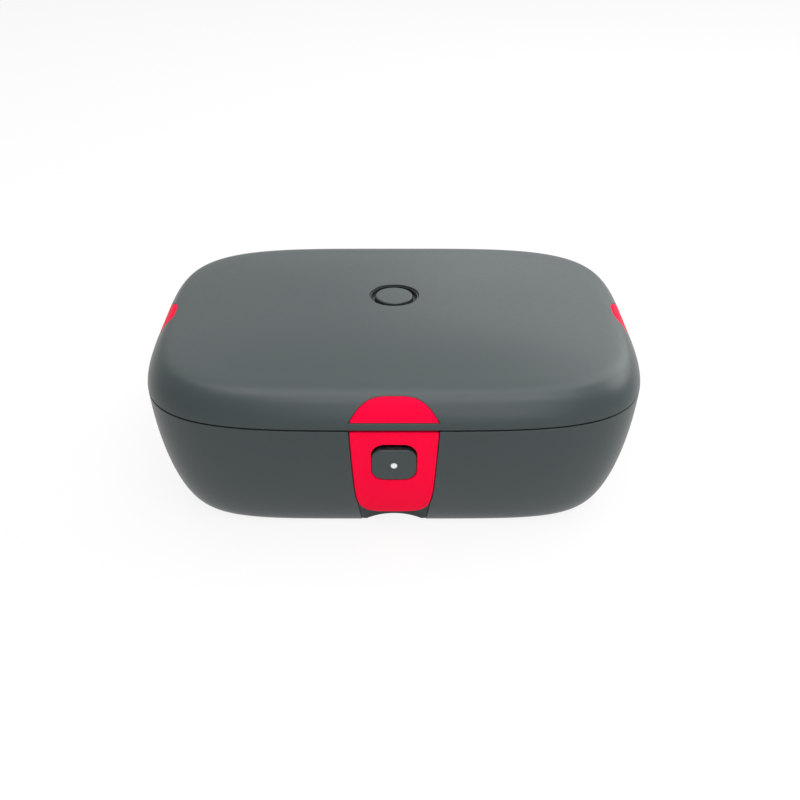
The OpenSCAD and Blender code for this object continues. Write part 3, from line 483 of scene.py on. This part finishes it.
MATERIALS = {
    "shell_grey": plastic("shell_grey", (51, 60, 61), 0.37, spec=0.36),
    "inner_grey": plastic("inner_grey", (44, 47, 49), 0.5, grain=1800, spec=0.4),
    "latch_red": plastic("latch_red", (250, 3, 58), 0.45, vary=0.015, spec=0.04),
    "vent_black": plastic("vent_black", (30, 31, 33), 0.45),
    "inlet_black": plastic("inlet_black", (26, 26, 27), 0.5),
    "light_white": glow("light_white", (236, 240, 246)),
    "steel": metal("steel", (205, 207, 210), 0.27),
    "screw_steel": metal("screw_steel", (170, 172, 176), 0.33, (8, 8, 8), scale=400.0),
    "aluminium": metal("aluminium", (205, 206, 208), 0.36),
    "foot_rubber": rubber("foot_rubber", (24, 24, 25)),
    "seal_silicone": rubber("seal_silicone", (176, 179, 182), 0.5, through=0.25),
    "insulator": rubber("insulator", (196, 188, 160), 0.7),
    "element": metal("element", (184, 120, 70), 0.4, (30, 30, 30)),
    "board": plastic("board", (20, 84, 46), 0.35, grain=900),
    "component": plastic("component", (32, 33, 38), 0.4),
    "wire": rubber("wire", (150, 22, 20), 0.45),
}

SLOT_OF = {row["node"]: row["material_slot"] for row in frame["record"]["subparts"]}
for node_name, node in NODES.items():
    node.data.materials.clear()
    node.data.materials.append(MATERIALS[SLOT_OF[node_name]])


# ---------- Base shell ----------

FLAP_TOP, FLAP_LOW, FLAP_T = BASE_TOP - 0.4, 10.4, 2.6
FLAP_HALF, FLAP_TAPER = 21.0, 0.13
POCKET_GAP, POCKET_DEEP, POCKET_EDGE = 0.35, 24, 0.2
POCKET_FOOT, POCKET_SLOPE = 16.1, 0.1
COVER_W, COVER_D, COVER_R, COVER_T = 184.0, 124.0, 26.0, 1.4
COVER_GAP, REBATE, OPENING_TOP = 0.15, 4.0, 10
INLET_HALF, INLET_DEEP, INLET_Z = 12, 25, (21.5, 38.5)
HINGE_Z, BRACKET_X = SEAM_Z, 52.0
LID_KNUCKLE_HALF, BASE_KNUCKLE_HALF, KNUCKLE_GAP, KNUCKLE_FIT = 6.0, 4.0, 0.3, 0.15
BEHIND = HALF_D + 5  # where the cutters of the back wall end


def flap_width(t):
    """Half the flap's width at the share t of its height, from the top down."""
    return FLAP_HALF * (1 - FLAP_TAPER * t) * np.maximum(0, 1 - t ** 10) ** 0.25


def pocket_width(z):
    """Half the pocket's width: the flap's and a gap, and straight where the flap's foot is round."""
    share = (FLAP_TOP - z) / (FLAP_TOP - FLAP_LOW)
    straight = FLAP_HALF * (1 - FLAP_TAPER * share)
    foot = np.minimum(POCKET_FOOT - POCKET_GAP + POCKET_SLOPE * z, straight)
    return POCKET_GAP + np.maximum(flap_width(np.clip(share, 0, 1)), foot)


def pocket_outline():
    """The pocket's outline, past both ends of the wall that it is cut from."""
    low, top, steps = -1.0, 70.0, 90
    z = np.linspace(low, top, steps)
    w = pocket_width(z)
    right = np.column_stack([w, z])
    left = np.column_stack([-w, z])[::-1]
    across = np.linspace(-1, 1, 14)[1:-1]
    bottom = np.column_stack([across * w[0], np.full(len(across), low)])
    over = np.column_stack([-across * w[-1], np.full(len(across), top)])
    return np.vstack([bottom, right, over, left])


def base_form():
    foot_band, wall_low, middle = 12, 14.5, 0.02
    rings = [base_ring(FOOT_H) * [f, f, 1] for f in (0.3, 0.6, 0.85, 0.97)]
    rings += [base_ring(z) for z in FOOT_H + foot_band * np.linspace(0, 1, 26) ** 1.6]
    rings += [base_ring(z) for z in np.linspace(wall_low, BASE_TOP - LIP_R, 40)]
    for c, s in cos_sin(30, 60, 90):
        rings.append(base_ring(BASE_TOP - LIP_R + LIP_R * s, LIP_R * (1 - c)))
    rings.append(base_ring(BASE_TOP, WALL - LIP_R))
    rings.append(base_ring(BASE_TOP - LIP_R, WALL))
    rings += [base_ring(z, WALL) for z in (58, 46, 34, 24, 16, 11, 8, 6.2, FLOOR_Z)]
    rings.append(base_ring(FLOOR_Z, WALL) * [middle, middle, 1])
    return loft(rings)


def hinge_notch(x, half, deep, z):
    """A slot in the back wall for a hinge knuckle."""
    return box_tool("notch", (x - half, x + half), (HALF_D - deep, BEHIND), z)


def hinge_notches(lid):
    """Deep slots for the shell's own knuckles, and shallow ones where those of the other shell turn."""
    deep, shallow, low, high = 8, 2, 60, 70
    own_top, turning_top = HINGE_Z + 4.8, HINGE_Z + 4
    own_foot, turning_foot = HINGE_Z - 6.4, HINGE_Z - 4.2
    base_knuckle_x = LID_KNUCKLE_HALF + KNUCKLE_GAP + BASE_KNUCKLE_HALF
    whole = base_knuckle_x + BASE_KNUCKLE_HALF + KNUCKLE_GAP
    tools = []
    for x in (-BRACKET_X, BRACKET_X):
        if lid:
            tools.append(hinge_notch(x, LID_KNUCKLE_HALF + KNUCKLE_FIT, deep, (low, own_top)))
            tools.append(hinge_notch(x, whole, shallow, (low, turning_top)))
        else:
            for shift in (-base_knuckle_x, base_knuckle_x):
                half = BASE_KNUCKLE_HALF + KNUCKLE_FIT
                tools.append(hinge_notch(x + shift, half, deep, (own_foot, high)))
            tools.append(hinge_notch(x, LID_KNUCKLE_HALF + KNUCKLE_GAP, shallow, (turning_foot, high)))
    return tools


base = new_object("base_shell_form", base_form())
tools = [
    wall_cutter(f"pocket_{side}", side, pocket_outline(), partial(base_skin, side), POCKET_EDGE, POCKET_DEEP)
    for side in SIDES
]
tools.append(slab_tool(
    "rebate", COVER_W + 2 * COVER_GAP, COVER_D + 2 * COVER_GAP, COVER_R + COVER_GAP, (-1, FOOT_H + COVER_T)
))
tools.append(slab_tool(
    "opening", COVER_W - 2 * REBATE, COVER_D - 2 * REBATE, COVER_R - REBATE, (-1, OPENING_TOP)
))
tools.append(box_tool("inlet", (-INLET_HALF, INLET_HALF), (HALF_D - INLET_DEEP, BEHIND), INLET_Z))
tools += hinge_notches(lid=False)
finish_piece(cut(base, tools), "base", "shell_grey", ["base_shell"])


# ---------- Lid shell ----------

KEEPER_LOW, KEEPER_TOP, SIDE_KEEPER_RISE = 70.3, 81.0, 1.2
KEEPER_HALF, KEEPER_POWER, KEEPER_GAP = 20.9, 3.7, 0.14
SEAT_EDGE, SEAT_DEEP = 0.35, 12
BLEND_FROM, BLEND_TO = 66, 0.86  # the shoulder's angle and the crown's share between which they blend
VENT_BACK, VENT_RING_R, VENT_EDGE_R = 8.5, 13.25, 0.5


def keeper_outline(side, grow=0.0):
    """A half moon: a flat lower edge and a round top, which is higher at the sides."""
    top = KEEPER_TOP if side == "front" else KEEPER_TOP + SIDE_KEEPER_RISE
    low, half = KEEPER_LOW - grow, KEEPER_HALF + grow
    across = np.sin(np.linspace(-math.pi / 2, math.pi / 2, 73))
    z = KEEPER_LOW + grow + (top - KEEPER_LOW) * (1 - np.abs(across) ** KEEPER_POWER)
    z[0] = z[-1] = low
    bottom_x = np.linspace(1, -1, 40)[1:-1] * half
    bottom = np.column_stack([bottom_x, np.full(len(bottom_x), low)])
    return np.vstack([np.column_stack([across * half, z]), bottom])


def shoulder_size(t, inside):
    """Half width, half depth and height of the lid's shoulder at the angle t in degrees."""
    [(c, s)] = cos_sin(t)
    inset = inside + SHOULDER_IN * (1 - c ** (2 / SHOULDER_POWER))
    z = SEAM_Z + (SHOULDER_H - inside) * s ** (2 / SHOULDER_POWER)
    return np.array([HALF_W - inset, HALF_D - inset, z])


def crown_size(share, inside):
    """The same sizes of the lid's crown at a share of its width."""
    inset = SHOULDER_IN + inside
    z = SEAM_Z + SHOULDER_H - inside + CROWN_H * (1 - share ** CROWN_POWER)
    return np.array([share * (HALF_W - inset), share * (HALF_D - inset), z])


def sized_ring(size):
    return super_ring(size[0], size[1], SEAM_POWER, size[2])


def blend_rings(count):
    """Rings that carry the shoulder over into the crown without a crease."""
    start_run, end_run = 3.0, 8.0
    start, end = shoulder_size(BLEND_FROM, 0), crown_size(BLEND_TO, 0)
    leave = start - shoulder_size(BLEND_FROM - 0.5, 0)
    arrive = end - crown_size(BLEND_TO + 0.005, 0)
    knee_a = start + leave * (start_run / -leave[0])
    knee_b = end - arrive * (end_run / -arrive[0])
    rings = []
    for k in np.linspace(0, 1, count + 2)[1:-1]:
        near_start = (1 - k) ** 3 * start + 3 * k * (1 - k) ** 2 * knee_a
        rings.append(sized_ring(near_start + 3 * k * k * (1 - k) * knee_b + k ** 3 * end))
    return rings


def lid_form():
    low = math.degrees(math.asin((SEAM_HALF / SHOULDER_H) ** (SHOULDER_POWER / 2)))
    rings = [sized_ring(crown_size(share, WALL)) for share in (0.02, 0.4, 0.8, 0.95)]
    rings += [sized_ring(shoulder_size(t, WALL)) for t in (86, 78, 70, 60, 48, 36, 24, 12)]
    foot_z = shoulder_size(low, 0)[2]
    for inside, z in ((WALL, foot_z + LIP_R), (WALL - LIP_R, foot_z)):
        rings.append(super_ring(HALF_W - inside, HALF_D - inside, SEAM_POWER, z))
    for c, s in cos_sin(90, 60, 30, 0):
        z = foot_z + LIP_R * (1 - s)
        inset = LIP_R * (1 - c) + float(lid_inset(z))
        rings.append(super_ring(HALF_W - inset, HALF_D - inset, SEAM_POWER, z))
    rings += [sized_ring(shoulder_size(t, 0)) for t in np.linspace(low + 2.5, BLEND_FROM, 36)]
    rings += blend_rings(18)
    rings += [sized_ring(crown_size(share, 0)) for share in np.linspace(BLEND_TO, 0.12, 26)]
    return loft(rings)


def vent_hole():
    """The hole for the vent's ring, with a rounded edge at the top."""
    wide, low, high, thin = VENT_RING_R + 0.9, 60, 100, 0.01
    profile = [(thin, low), (VENT_RING_R, low), (VENT_RING_R, LID_TOP - 1.35)]
    for c, s in cos_sin(0, 20, 40, 60, 80, 90):
        profile.append((VENT_RING_R + VENT_EDGE_R * (1 - c), LID_TOP - 0.55 + VENT_EDGE_R * s))
    profile += [(wide, LID_TOP + 0.2), (wide, high), (thin, high)]
    return new_object("vent_hole", lathe(profile, (0, VENT_BACK), 160))


lid = new_object("lid_shell_form", lid_form())
tools = [
    wall_cutter(
        f"keep_{side}", side, keeper_outline(side, KEEPER_GAP), partial(lid_skin, side), SEAT_EDGE, SEAT_DEEP
    )
    for side in SIDES
]
tools.append(vent_hole())
tools += hinge_notches(lid=True)
finish_piece(cut(lid, tools), "lid", "shell_grey", ["lid_shell"])


# ---------- Latches ----------

PIVOT_Z, PIVOT_DEEP = 61.0, 4.6
PIN_HOLE_R, BOSS_R, BOSS_HALF = 1.3, 2.3, 19.5
NECK_DEEP, NECK_T, NECK_LOW, NECK_TOP, HOOK_HALF = 5.0, 1.4, PIVOT_Z + 1.4, 67.0, 9.0
HOOK_TOP, LEDGE_LOW, LEDGE_TOP = 72.4, 68.6, 70.2
PLATE_HALF, PLATE_TOP, PLATE_FRONT, PLATE_BACK = 16, 74.6, 3.39, 4.4
HOOK_HOLE_HALF, HOOK_HOLE_TOP = 9.6, 73.4
LEDGE_HALF, LEDGE_FRONT, LEDGE_BACK = 8, 3.9, 4.7
WINDOW_W, WINDOW_LOW, WINDOW_HIGH, WINDOW_R = 21.8, 35.0, 58.0, 6.5
FLAP_CORNER, FLAP_EDGE, FLAP_TOP_EDGE, WINDOW_EDGE = 0.9, 0.5, 1.1, 0.35
KEEPER_T, KEEPER_CORNER, KEEPER_EDGE = 3.4, 0.8, 0.45


def flap_outline():
    """The flap's outline, with close points where its foot turns."""
    t = 1 - (1 - np.linspace(0, 1, 90)) ** 2.6
    t = np.unique(np.concatenate([np.linspace(0, 0.8, 40), t[t > 0.8], [1.0]]))
    z = FLAP_TOP - (FLAP_TOP - FLAP_LOW) * t
    w = flap_width(t)
    right = np.column_stack([w, z])
    left = np.column_stack([-w, z])[::-1][1:]
    across = np.linspace(-1, 1, 24)[1:-1] * w[0]
    top = np.column_stack([across, np.full(len(across), FLAP_TOP)])
    return np.vstack([right, left, top])


def window_outline(outer):
    """A rounded rectangle with points on the rays that go to the outer outline's points."""
    middle = (WINDOW_LOW + WINDOW_HIGH) / 2
    ring = slab_ring(WINDOW_W, WINDOW_HIGH - WINDOW_LOW, WINDOW_R, 0, 40, 1)[:, :2] + [0, middle]
    dense = resample(ring, FINE)
    centre = np.array([0, middle])
    angles = np.arctan2(dense[:, 1] - centre[1], dense[:, 0] - centre[0])
    order = np.argsort(angles)
    radius = np.linalg.norm(dense - centre, axis=1)
    want = np.arctan2(outer[:, 1] - centre[1], outer[:, 0] - centre[0])
    r = np.interp(want, angles[order], radius[order], period=2 * math.pi)
    return centre + np.column_stack([r * np.cos(want), r * np.sin(want)])


def flap_part(side):
    """The flap's plate. Its upper edge is rounder than the others."""
    outline = soften(flap_outline(), FLAP_CORNER, 260)
    edge = np.where(outline[:, 1] > FLAP_TOP - 0.5, FLAP_TOP_EDGE, FLAP_EDGE)
    for _ in range(8):
        edge = (np.roll(edge, 1) + edge + np.roll(edge, -1)) / 3
    hole = window_outline(outline) if side == "front" else None
    return wall_panel(outline, partial(base_skin, side), FLAP_T, edge, hole, WINDOW_EDGE)


def barrel(side):
    """The round boss with the pin's hole."""
    y = float(base_skin(side, PIVOT_Z)) + PIVOT_DEEP
    profile = [
        (PIN_HOLE_R, -BOSS_HALF), (BOSS_R, -BOSS_HALF), (BOSS_R, BOSS_HALF), (PIN_HOLE_R, BOSS_HALF)
    ]
    return lathe(profile, (y, PIVOT_Z), 40, axis=0, closed=True)


def neck(side):
    y = float(base_skin(side, PIVOT_Z)) + NECK_DEEP
    return box_part((-HOOK_HALF, HOOK_HALF), (y, y + NECK_T), (NECK_LOW, NECK_TOP))


def hook_part(side):
    """The flexible hook, with a rounded nose."""
    y = float(base_skin(side, PIVOT_Z)) + NECK_DEEP
    back, nose_low = y + NECK_T, LEDGE_TOP + 0.2
    outline = [
        (back, NECK_TOP), (back, HOOK_TOP - 0.4), (back - 0.4, HOOK_TOP), (y + 0.2, HOOK_TOP),
        (y - 1.2, nose_low + 0.95), (y - 1.5, nose_low + 0.55), (y - 1.5, nose_low + 0.15),
        (y - 1.35, nose_low), (y, nose_low), (y, NECK_TOP),
    ]
    return loft([np.array([(x, *point) for point in outline]) for x in (-HOOK_HALF, HOOK_HALF)])


def band_block(side, x, z, front, back):
    """A block between two depths behind the lid's shoulder."""
    levels = np.linspace(z[0], z[1], 5)
    outline = [(float(lid_skin(side, h)) + front, h) for h in levels]
    outline += [(float(lid_skin(side, h)) + back, h) for h in levels[::-1]]
    return loft([np.array([(end, *point) for point in outline]) for end in x])


def keeper_part(side):
    """The half moon, its back plate and the ledge that the hook holds."""
    outline = soften(keeper_outline(side), KEEPER_CORNER, 200)
    face = wall_panel(outline, partial(lid_skin, side), KEEPER_T, KEEPER_EDGE, rows=10)
    hole = (-HOOK_HOLE_HALF, HOOK_HOLE_HALF)
    plates = [
        ((-PLATE_HALF, -HOOK_HOLE_HALF), (LEDGE_LOW, PLATE_TOP)),
        ((HOOK_HOLE_HALF, PLATE_HALF), (LEDGE_LOW, PLATE_TOP)),
        (hole, (HOOK_HOLE_TOP, PLATE_TOP)),
        (hole, (LEDGE_LOW, LEDGE_TOP)),
    ]
    blocks = [band_block(side, x, z, PLATE_FRONT, PLATE_BACK) for x, z in plates]
    ledge = band_block(side, (-LEDGE_HALF, LEDGE_HALF), (LEDGE_LOW, LEDGE_TOP), LEDGE_FRONT, LEDGE_BACK)
    return merge(face, *blocks, ledge)


for side in SIDES:
    whole_flap = merge(flap_part(side), barrel(side), neck(side))
    flap = new_object(f"{side}_latch_flap_form", at_side(whole_flap, side))
    finish_piece(flap, f"{side}_latch", "latch_red", [f"{side}_latch_flap"], weighted=False)
    hook = new_object(f"{side}_latch_hook_form", at_side(hook_part(side), side))
    finish_piece(hook, f"{side}_latch", "latch_red", [f"{side}_latch_hook"])
    moon = new_object(f"{side}_keeper_form", at_side(keeper_part(side), side))
    finish_piece(moon, "lid", "latch_red", [f"{side}_keeper"], weighted=False)
    NODES[f"{side}_latch_housing"].data.materials[0] = MATERIALS["shell_grey"]


# ---------- Power button ----------

CAP_LOW, CAP_HIGH, CAP_HALF, CAP_DEEP, CAP_T = 35.3, 54.4, 10.7, 0.3, 3.4
CAP_FOOT_R, CAP_TOP_R, CAP_EDGE, CAP_TOP_EDGE, LIGHT_EDGE = 6.3, 4.9, 0.3, 1.1, 0.12
LIGHT_Z, LIGHT_R, LIGHT_GAP = 44.6, 1.65, 0.02
STEM_Z, STEM_R, STEM_DEEP, STEM_GAP = 39.5, 2.4, 3.0, 0.02
SWITCH_BOARD_Y, SWITCH_H, SWITCH_TIP, BUTTON_TRAVEL = -75.4, 1.2, 1, 0.6
STEM_END = SWITCH_BOARD_Y - SWITCH_H - SWITCH_TIP - BUTTON_TRAVEL - STEM_GAP
SPRING_R, SPRING_WIRE, SPRING_TURNS = STEM_R + 0.6, 0.22, 3.5
SPRING_REACH, SPRING_SEAT, SPRING_GAP = 3.3, 9.0, 0.1


def cap_skin(z):
    """y of the button's face."""
    return base_skin("front", z) + CAP_DEEP


def button_outline():
    """The cap's outline. It fills the window's foot, and its lower corners are the rounder ones."""
    points = []
    for sx, z, r, start in (
        (1, CAP_HIGH - CAP_TOP_R, CAP_TOP_R, 0), (-1, CAP_HIGH - CAP_TOP_R, CAP_TOP_R, 90),
        (-1, CAP_LOW + CAP_FOOT_R, CAP_FOOT_R, 180), (1, CAP_LOW + CAP_FOOT_R, CAP_FOOT_R, 270),
    ):
        for c, s in cos_sin(*range(start, start + 91, 3)):
            points.append((sx * (CAP_HALF - r) + r * c, z + r * s))
    return resample(points, 200)


def button_part():
    """The cap with the hole for its light, and the stem that pushes the switch."""
    outline = button_outline()
    edge = np.interp(outline[:, 1], [CAP_HIGH - 5, CAP_HIGH - 1], [CAP_EDGE, CAP_TOP_EDGE])
    want = np.arctan2(outline[:, 1] - LIGHT_Z, outline[:, 0])
    hole = np.array([0, LIGHT_Z]) + (LIGHT_R + LIGHT_GAP) * np.column_stack([np.cos(want), np.sin(want)])
    cap = wall_panel(outline, cap_skin, CAP_T, edge, hole, LIGHT_EDGE)
    ends = (float(cap_skin(STEM_Z)) + STEM_DEEP, STEM_END)
    return merge(cap, lathe([(STEM_R, y) for y in ends], (0, STEM_Z), 40, axis=1))


def light_part():
    """The light pipe, with a slightly domed face."""
    front = float(cap_skin(LIGHT_Z))
    dome = [(0.15, -0.22), (0.6, -0.2), (1.1, -0.14), (1.45, -0.04), (LIGHT_R, 0.2), (LIGHT_R, 12.0)]
    return lathe([(r, front + deep) for r, deep in dome], (0, LIGHT_Z), 48, axis=1)


button = new_object("power_button_form", button_part())
finish_piece(button, "power_button", "shell_grey", ["power_button"], weighted=False)
light = new_object("button_light_pipe_form", light_part())
finish_piece(light, "power_button", "light_white", ["button_light_pipe"])

spring_start = float(cap_skin(STEM_Z - SPRING_REACH)) + CAP_T + SPRING_GAP
spring_end = float(base_skin("front", STEM_Z + SPRING_REACH)) + SPRING_SEAT - SPRING_GAP
button_coil = new_object(
    "button_spring_coil",
    coil((0, STEM_Z), 1, spring_start, spring_end, SPRING_R, SPRING_WIRE, SPRING_TURNS),
)
finish_piece(button_coil, "base", "screw_steel", ["button_spring"])
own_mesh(button_coil)


# ---------- Vent ----------

VENT_SPRING_Z, VENT_SPRING_R, VENT_WIRE, VENT_TURNS = (78.0, 84.4), 6.1, 0.45, 5
vent_coil = new_object(
    "vent_spring_coil", coil((0, VENT_BACK), 2, *VENT_SPRING_Z, VENT_SPRING_R, VENT_WIRE, VENT_TURNS)
)
finish_piece(vent_coil, "lid", "screw_steel", ["vent_spring"])
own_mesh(vent_coil)


# ---------- Dish ----------

DISH_W, DISH_D, DISH_R, SHEET_T = 194.0, 130.0, 23.0, 0.9
DISH_LOW, DISH_FOOT_R, RIM_Z = 26.2, 7.0, 64.0


def wall_ring(out, z, corner_share=1.0):
    """The dish's outline, moved outwards. Its corner radius takes a share of that."""
    return slab_ring(DISH_W + 2 * out, DISH_D + 2 * out, DISH_R + corner_share * out, z)


def floor_ring(share, z, radius=DISH_R):
    """A share of the flat inside the dish's round foot."""
    w, d = DISH_W - 2 * DISH_FOOT_R, DISH_D - 2 * DISH_FOOT_R
    return slab_ring(w * share, d * share, radius * share, z)


def foot_rings(inside, angles):
    """The round foot, as the outer skin or a sheet's thickness inside it."""
    r = DISH_FOOT_R - inside
    return [
        wall_ring(-(inside + r * (1 - s)), DISH_LOW + inside + r * (1 - c), 0.6)
        for c, s in cos_sin(*angles)
    ]


def dish_form():
    """One sheet: up the outside, over the rolled rim, and down the inside to the raised floor."""
    angles = (0, 15, 30, 45, 60, 75, 90)
    floor_rise, rise_from = 0.35, 0.95
    rings = [floor_ring(share, DISH_LOW) for share in (0.03, 0.35, 0.7)]
    rings += foot_rings(0, angles)
    for out, z in (
        (0, -0.3), (0.15, 0), (4.6, 0), (5.0, 0.25), (5.0, 0.6), (4.6, SHEET_T), (1.2, SHEET_T),
        (0.2, 0.75), (-0.5, 0.3), (-SHEET_T, -0.6), (-SHEET_T, -14),
    ):
        rings.append(wall_ring(out, RIM_Z + z))
    rings += foot_rings(SHEET_T, angles[::-1])
    for share in (0.97, 0.955, 0.94, 0.7, 0.35, 0.03):
        lift = floor_rise if share < rise_from else 0.0
        rings.append(floor_ring(share, DISH_LOW + SHEET_T + lift, DISH_R * 0.9))
    return loft(rings)


dish = new_object("steel_dish_form", dish_form())
finish_piece(dish, "base", "steel", ["steel_dish"], sharp=50, weighted=False)


# ---------- Gasket ----------

def gasket_form():
    """A soft strip with two lips below and a flat back above. g goes inwards from its outer edge."""
    w, d, r, low, top = 203.0, 139.0, 27.5, 64.9, 69.8
    profile = [
        (0.0, low + 1.2), (0.2, low + 0.5), (0.7, low + 0.1), (1.3, low), (1.8, low + 0.3), (2.0, low + 0.9),
        (2.2, low + 0.9), (2.4, low + 0.3), (2.8, low), (3.4, low + 0.1), (3.8, low + 0.5), (4.0, low + 1.2),
        (4.0, top - 0.3), (3.7, top), (0.3, top), (0.0, top - 0.3),
    ]
    return loft([slab_ring(w - 2 * g, d - 2 * g, r - g, z, 20, 12) for g, z in profile], closed=True)


gasket = new_object("lid_gasket_form", gasket_form())
finish_piece(gasket, "lid", "seal_silicone", ["lid_gasket"], weighted=False)


# ---------- Screws with a cross recess ----------

def screw(name, x, y, head_low, head_high, shank_top, head_r, shank_r):
    """A pan-head screw that points up, driven from below."""
    h = head_high - head_low
    profile = [(0.01, head_low), (head_r * 0.55, head_low), (head_r * 0.85, head_low + h * 0.12)]
    profile += [(head_r, head_low + h * 0.45), (head_r, head_high), (shank_r, head_high)]
    profile += [(shank_r, shank_top - 0.6), (shank_r * 0.6, shank_top), (0.01, shank_top)]
    arm, half = head_r * 0.62, head_r * 0.14
    recess = (head_low - 1, head_low + h * 0.6)
    tools = [
        box_tool("recess", (x - a, x + a), (y - b, y + b), recess) for a, b in ((arm, half), (half, arm))
    ]
    return cut(new_object(name, lathe(profile, (x, y), 40)), tools)


def screws(name, half_x, half_y, node, body, *sizes):
    """Four screws at the corners of a rectangle."""
    places = [(x, y) for x in (-half_x, half_x) for y in (-half_y, half_y)]
    for i, (x, y) in enumerate(places):
        finish_piece(screw(f"{name}_{i}", x, y, *sizes), body, "screw_steel", [node])


screws("bottom_screw", 77, 47, "bottom_screws", "base", FOOT_H + 0.9, FOOT_H + 3, 16, 2.8, 1.4)
screws("lid_screw", 84, 52, "lid_screws", "lid", 67.4, 69, 76.5, 2.6, 1.25)


# ---------- Shading of the CAD nodes that stay ----------

for node in NODES.values():
    if node.hide_render:
        continue
    weld = node.modifiers.new("weld", "WELD")
    weld.merge_threshold = 1e-6
    smooth = node.modifiers.new("normals", "WEIGHTED_NORMAL")
    smooth.keep_sharp = True


# ---------- Floor, light and camera (metres) ----------

FLOOR_HALF, FLOOR_GREY, FLOOR_WHITE, WORLD_LIGHT = 6.0, 0.88, 0.88, 0.01
LAMP_TARGET = (0, 0, 0.05)
LAMPS = (  # name, place, size, watts
    ("overhead", (0.0, 0.0, 1.5), (1.5, 1.5), 20.5),
    ("key_right", (0.55, 0.42, 0.6), (0.5, 0.5), 1.3),
    ("back_top", (0.2, 1.3, 1.2), (2.4, 1.2), 4.4),
    ("back_low", (0.3, 0.9, 0.5), (0.6, 0.4), 0.6),
    ("right_back", (1.2, 1.0, 0.8), (1.0, 1.0), 4.5),
    ("right_high", (1.25, 0.2, 0.72), (0.7, 0.7), 5.5),
    ("front_fill", (0.3, -1.5, 0.6), (1.0, 1.0), 7.2),
    ("front_top", (0.3, -0.9, 1.3), (1.4, 0.5), 8.5),
)


def white_to_the_eye(tree, lit, kind, share):
    """Mixes white light of a node kind into what camera, glossy and transmission rays see."""
    path = tree.nodes.new("ShaderNodeLightPath")
    white = tree.nodes.new(kind)
    white.inputs["Strength"].default_value = 1.0
    total = path.outputs["Is Camera Ray"]
    for name in ("Is Glossy Ray", "Is Transmission Ray"):
        add = tree.nodes.new("ShaderNodeMath")
        add.operation = "MAXIMUM"
        tree.links.new(total, add.inputs[0])
        tree.links.new(path.outputs[name], add.inputs[1])
        total = add.outputs[0]
    scale = tree.nodes.new("ShaderNodeMath")
    scale.operation = "MULTIPLY"
    scale.inputs[1].default_value = share
    tree.links.new(total, scale.inputs[0])
    mix = tree.nodes.new("ShaderNodeMixShader")
    tree.links.new(scale.outputs[0], mix.inputs[0])
    tree.links.new(lit, mix.inputs[1])
    tree.links.new(white.outputs[0], mix.inputs[2])
    return mix.outputs[0]


def pale_floor():
    mesh = bpy.data.meshes.new("studio_floor")
    corners = [(x * FLOOR_HALF, y * FLOOR_HALF, 0) for x, y in ((-1, -1), (1, -1), (1, 1), (-1, 1))]
    mesh.from_pydata(corners, [], [(0, 1, 2, 3)])
    obj = add_object("studio_floor", mesh)
    material = bpy.data.materials.new("studio_floor")
    material.use_nodes = True
    tree = material.node_tree
    tree.nodes.clear()
    matt = tree.nodes.new("ShaderNodeBsdfDiffuse")
    matt.inputs["Color"].default_value = (FLOOR_GREY, FLOOR_GREY, FLOOR_GREY, 1)
    out = tree.nodes.new("ShaderNodeOutputMaterial")
    seen = white_to_the_eye(tree, matt.outputs[0], "ShaderNodeEmission", FLOOR_WHITE)
    tree.links.new(seen, out.inputs["Surface"])
    mesh.materials.append(material)


def world_light(strength):
    world = bpy.data.worlds.new("studio")
    bpy.context.scene.world = world
    world.use_nodes = True
    tree = world.node_tree
    tree.nodes.clear()
    lit = tree.nodes.new("ShaderNodeBackground")
    lit.inputs["Color"].default_value = (1, 1, 1, 1)
    lit.inputs["Strength"].default_value = strength
    out = tree.nodes.new("ShaderNodeOutputWorld")
    seen = white_to_the_eye(tree, lit.outputs[0], "ShaderNodeBackground", 1.0)
    tree.links.new(seen, out.inputs["Surface"])


def aim(obj, place, direction):
    """Puts a lamp or a camera at a place, and turns it to look in a direction."""
    obj.location = place
    obj.rotation_mode = "QUATERNION"
    obj.rotation_quaternion = direction.to_track_quat("-Z", "Y")


def softbox(name, place, size, watts):
    lamp = bpy.data.lights.new(name, "AREA")
    lamp.shape = "RECTANGLE"
    lamp.size, lamp.size_y = size
    lamp.energy = watts
    aim(add_object(name, lamp), place, Vector(LAMP_TARGET) - Vector(place))


def main_camera():
    """The photograph's camera: its place, its lens and the pixel that its axis meets."""
    elevation, distance, target_z = math.radians(29.77), 0.5853, 0.045
    photo_px, lens_px, axis_x_px, axis_y_px = 800.0, 1068.0, 394, 372.07
    sensor = 36.0
    back = Vector((0, -math.cos(elevation), math.sin(elevation)))
    data = bpy.data.cameras.new("camera")
    data.sensor_width = sensor
    data.lens = sensor * lens_px / photo_px
    data.shift_x = (photo_px / 2 - axis_x_px) / photo_px
    data.shift_y = (axis_y_px - photo_px / 2) / photo_px
    data.clip_start, data.clip_end = 0.01, 50
    obj = add_object("camera", data)
    aim(obj, Vector((0, PLAN_Y * MM, target_z)) + back * distance, -back)
    bpy.context.scene.camera = obj


pale_floor()
world_light(WORLD_LIGHT)
for lamp_row in LAMPS:
    softbox(*lamp_row)
main_camera()

bpy.context.scene.view_settings.view_transform = "Standard"
